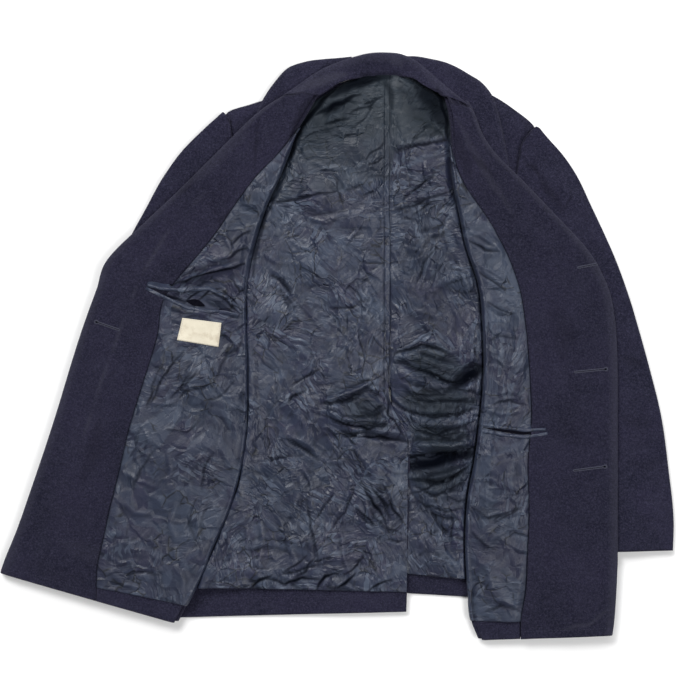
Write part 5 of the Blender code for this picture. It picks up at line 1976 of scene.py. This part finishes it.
def build_jets():
    """The inner pockets: satin lips round a mouth."""
    for node, (path, half, lift) in JETS.items():
        hand = node.split("_")[1]
        points, side = lengthwise(path)
        turns = np.linspace(-math.pi / 2, math.pi / 2, 9)
        out = -1 if node.endswith("lower") else 1
        across = np.append(half * np.sin(turns), half + JET_TAIL) * out
        rise = np.append(lift * np.cos(turns), -JET_SINK)
        grid = np.stack([points + side * run for run in across], axis=1)
        z = soften(skins[f"lining_{hand}"].heights(grid, 0.2), 4)
        z = z + rise[None, :] + 0.3 * noise(grid, 14.0, 21)
        ends = smooth_step(np.arange(len(z))[:, None] * JET_PITCH, 0.0, 6.0)
        z = z - 0.6 * (1 - ends)
        # The lips take a paler facet tone: painted sheen on their rounded
        # tops.
        thing = cloth(node + "_lip", with_height(grid, z), JET_CLOTH,
                      CALM_SATIN, as_tone(z.shape, 0.7, 0.0, 0.0))
        finish_sheet(thing, (node,))
    # Near-black sheets paint the shade inside the pockets' mouths.
    for name, (path, half, lift) in MOUTHS.items():
        skin = skins["lining_" + name.split("_")[1]]
        points, side = lengthwise(path)
        wide = np.sin(np.linspace(0.1, math.pi - 0.1, len(points)))[:, None]
        grid = np.stack([points + side * wide * half * turn
                         for turn in np.linspace(-1, 1, 7)], axis=1)
        thing = cloth(name, with_height(grid, skin.heights(grid, lift)), 0.3,
                      HOLLOW_SHADE)
        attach(thing, "root")


def build_label():
    """The bare label, sewn on along its four sides."""
    corners = [np.array(at(place)) for place in LABEL_CORNERS]
    skin = skins["lining_left"]
    top = spread(corners[0][None, :], corners[1][None, :], 26)[0]
    low = spread(corners[3][None, :], corners[2][None, :], 26)[0]
    grid = spread(top, low, 18).transpose(1, 0, 2)
    z = soften(skin.heights(grid, 0.9), 5)
    z = np.maximum(z, skin.heights(grid, 0.25)) + 0.25 * noise(grid, 9.0, 4)
    points = with_height(grid, z)
    thing = cloth("label_bare", points, LABEL_THICK, LABEL_CLOTH)
    finish_sheet(thing, ("label",))
    middle = sum(corners) / 4
    seam = [middle + (corner - middle) * LABEL_SEAM for corner in corners]
    face = Skin(points)
    places = []
    for (x, y), way in zip(*evenly(seam + seam[:1], 2.6)):
        z, _ = face.hit(x, y)
        if z is not None:
            places.append(((x, y, z), (way[0], way[1], 0), 0.95, 0.28))
    beads("label_stitches", places, PALE_THREAD)


def build_buttons():
    """Black four-hole buttons with a raised rim."""
    count = 48
    for node, (x, y) in BUTTONS.items():
        low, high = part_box(node)
        bottom, top = low[2] / MM, high[2] / MM
        # radius, height
        rings = [(7.6, top - 0.9), (10.2, top - 0.1), (12.6, top),
                 (14.4, top - 0.5), (15.0, bottom + 1.6),
                 (14.2, bottom + 0.4), (12.0, bottom)]
        vertices = []
        for radius, z in rings:
            for k in range(count):
                turn = math.tau * k / count
                vertices.append((x + radius * math.cos(turn),
                                 y + radius * math.sin(turn), z))
        faces = grid_faces(len(rings), count, ring=True)[:, ::-1].tolist()
        faces.append(list(range(count)))
        last = (len(rings) - 1) * count
        faces.append(list(range(last + count - 1, last - 1, -1)))
        body = add_mesh(node + "_round", np.array(vertices) * MM, faces,
                        PLASTIC)
        drill_holes(body, (x, y, (top + bottom) / 2))
        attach(body, "root")
        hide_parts(node)


def drill_holes(body, middle):
    """Cut a button's four holes."""
    drill = bmesh.new()
    for k in range(4):
        turn = math.tau * (k + 0.5) / 4
        made = bmesh.ops.create_cone(drill, cap_ends=True, segments=16,
                                     radius1=1.3 * MM, radius2=1.3 * MM,
                                     depth=8 * MM)
        for vertex in made["verts"]:
            vertex.co += Vector((middle[0] + 3.2 * math.cos(turn),
                                 middle[1] + 3.2 * math.sin(turn),
                                 middle[2])) * MM
    mesh = bpy.data.meshes.new("drill")
    drill.to_mesh(mesh)
    drill.free()
    tool = add_object("drill", mesh)
    cut = body.modifiers.new("holes", "BOOLEAN")
    cut.operation = "DIFFERENCE"
    cut.object = tool
    bpy.context.view_layer.update()
    graph = bpy.context.evaluated_depsgraph_get()
    done = bpy.data.meshes.new_from_object(body.evaluated_get(graph))
    body.modifiers.clear()
    body.data = done
    bpy.data.objects.remove(tool)


def build_details():
    """Buttonholes, and the stitches of the fronts' hems and the collar."""
    for name, (outer, inner) in BUTTONHOLES.items():
        buttonhole(name, outer, inner, skins["facing_" + name.split("_")[1]])
    for side, table, count in (("right", FRONT_RIGHT, 20),
                               ("left", FRONT_LEFT, 30)):
        front = Front(table, 6.0)
        hem = front.fold[-1] + front.out[-1] * np.linspace(
            front.bound[-1, 0] + 3, front.width[-1, 0] - 8, count)[:, None]
        up = unit(front.fold[-3] - front.fold[-1])
        stitches(f"hem_stitches_{side}", hem + up * FRONT_HEM_STITCHES,
                 skins[f"facing_{side}"])
    for side, table in (("right", LEAF_RIGHT), ("left", LEAF_LEFT)):
        inner, outer = curves(table, 40)
        path = outer + unit(inner - outer) * LEAF_STITCHES
        stitches(f"leaf_stitches_{side}", path, skins[f"leaf_{side}"])


# ---------------------------------------------------------------- setting

def build_floor():
    """A plain pale floor."""
    half = FLOOR_HALF
    floor = bpy.data.meshes.new("floor")
    floor.from_pydata([(-half, -half, FLOOR_Z), (half, -half, FLOOR_Z),
                       (half, half, FLOOR_Z), (-half, half, FLOOR_Z)],
                      [], [(0, 1, 2, 3)])
    pale, _ = new_material("floor_pale", Base_Color=(0.9, 0.9, 0.9, 1),
                           Roughness=1.0, Specular_IOR_Level=0.0)
    floor.materials.append(pale)
    add_object("floor", floor)


def build_lights():
    """An even world and soft lights that face the coat."""
    world = bpy.data.worlds.new("studio")
    world.use_nodes = True
    background = world.node_tree.nodes["Background"]
    background.inputs["Color"].default_value = (1, 1, 1, 1)
    background.inputs["Strength"].default_value = WORLD_LIGHT
    bpy.context.scene.world = world
    for name, (place, size, power) in LIGHTS.items():
        light = bpy.data.lights.new(name, "AREA")
        light.shape = "RECTANGLE"
        light.size, light.size_y = size
        light.energy = power
        lamp = add_object(name, light)
        lamp.location = place
        way = Vector((0, 0, 0)) - Vector(place)
        lamp.rotation_euler = way.to_track_quat("-Z", "Y").to_euler()


def build_camera():
    """The photograph's view, from straight above."""
    lens = bpy.data.cameras.new("camera")
    lens.lens = CAMERA_LENS
    lens.sensor_width = 36
    camera = add_object("camera", lens)
    camera.location = CAMERA_PLACE
    bpy.context.scene.camera = camera
    bpy.context.scene.view_settings.view_transform = "Standard"


build_back("right", BACK_RIGHT)
build_back("left", BACK_LEFT)
build_back_lining("right", LINING_BACK_RIGHT, CREASES_BACK_RIGHT, 11)
build_back_lining("left", LINING_BACK_LEFT, CREASES_BACK_LEFT, 31)
build_sleeve("right", SLEEVE_RIGHT, CREASES_SLEEVE_RIGHT, 41)
build_sleeve("left", SLEEVE_LEFT, CREASES_SLEEVE_LEFT, 47)
build_front("right", FRONT_RIGHT, CREASES_WOOL_RIGHT, CREASES_FRONT_RIGHT, 51)
build_front("left", FRONT_LEFT, CREASES_WOOL_LEFT, CREASES_FRONT_LEFT, 71)
build_collar()
build_leaves()
build_jets()
build_label()
build_buttons()
build_details()
build_floor()
build_lights()
build_camera()
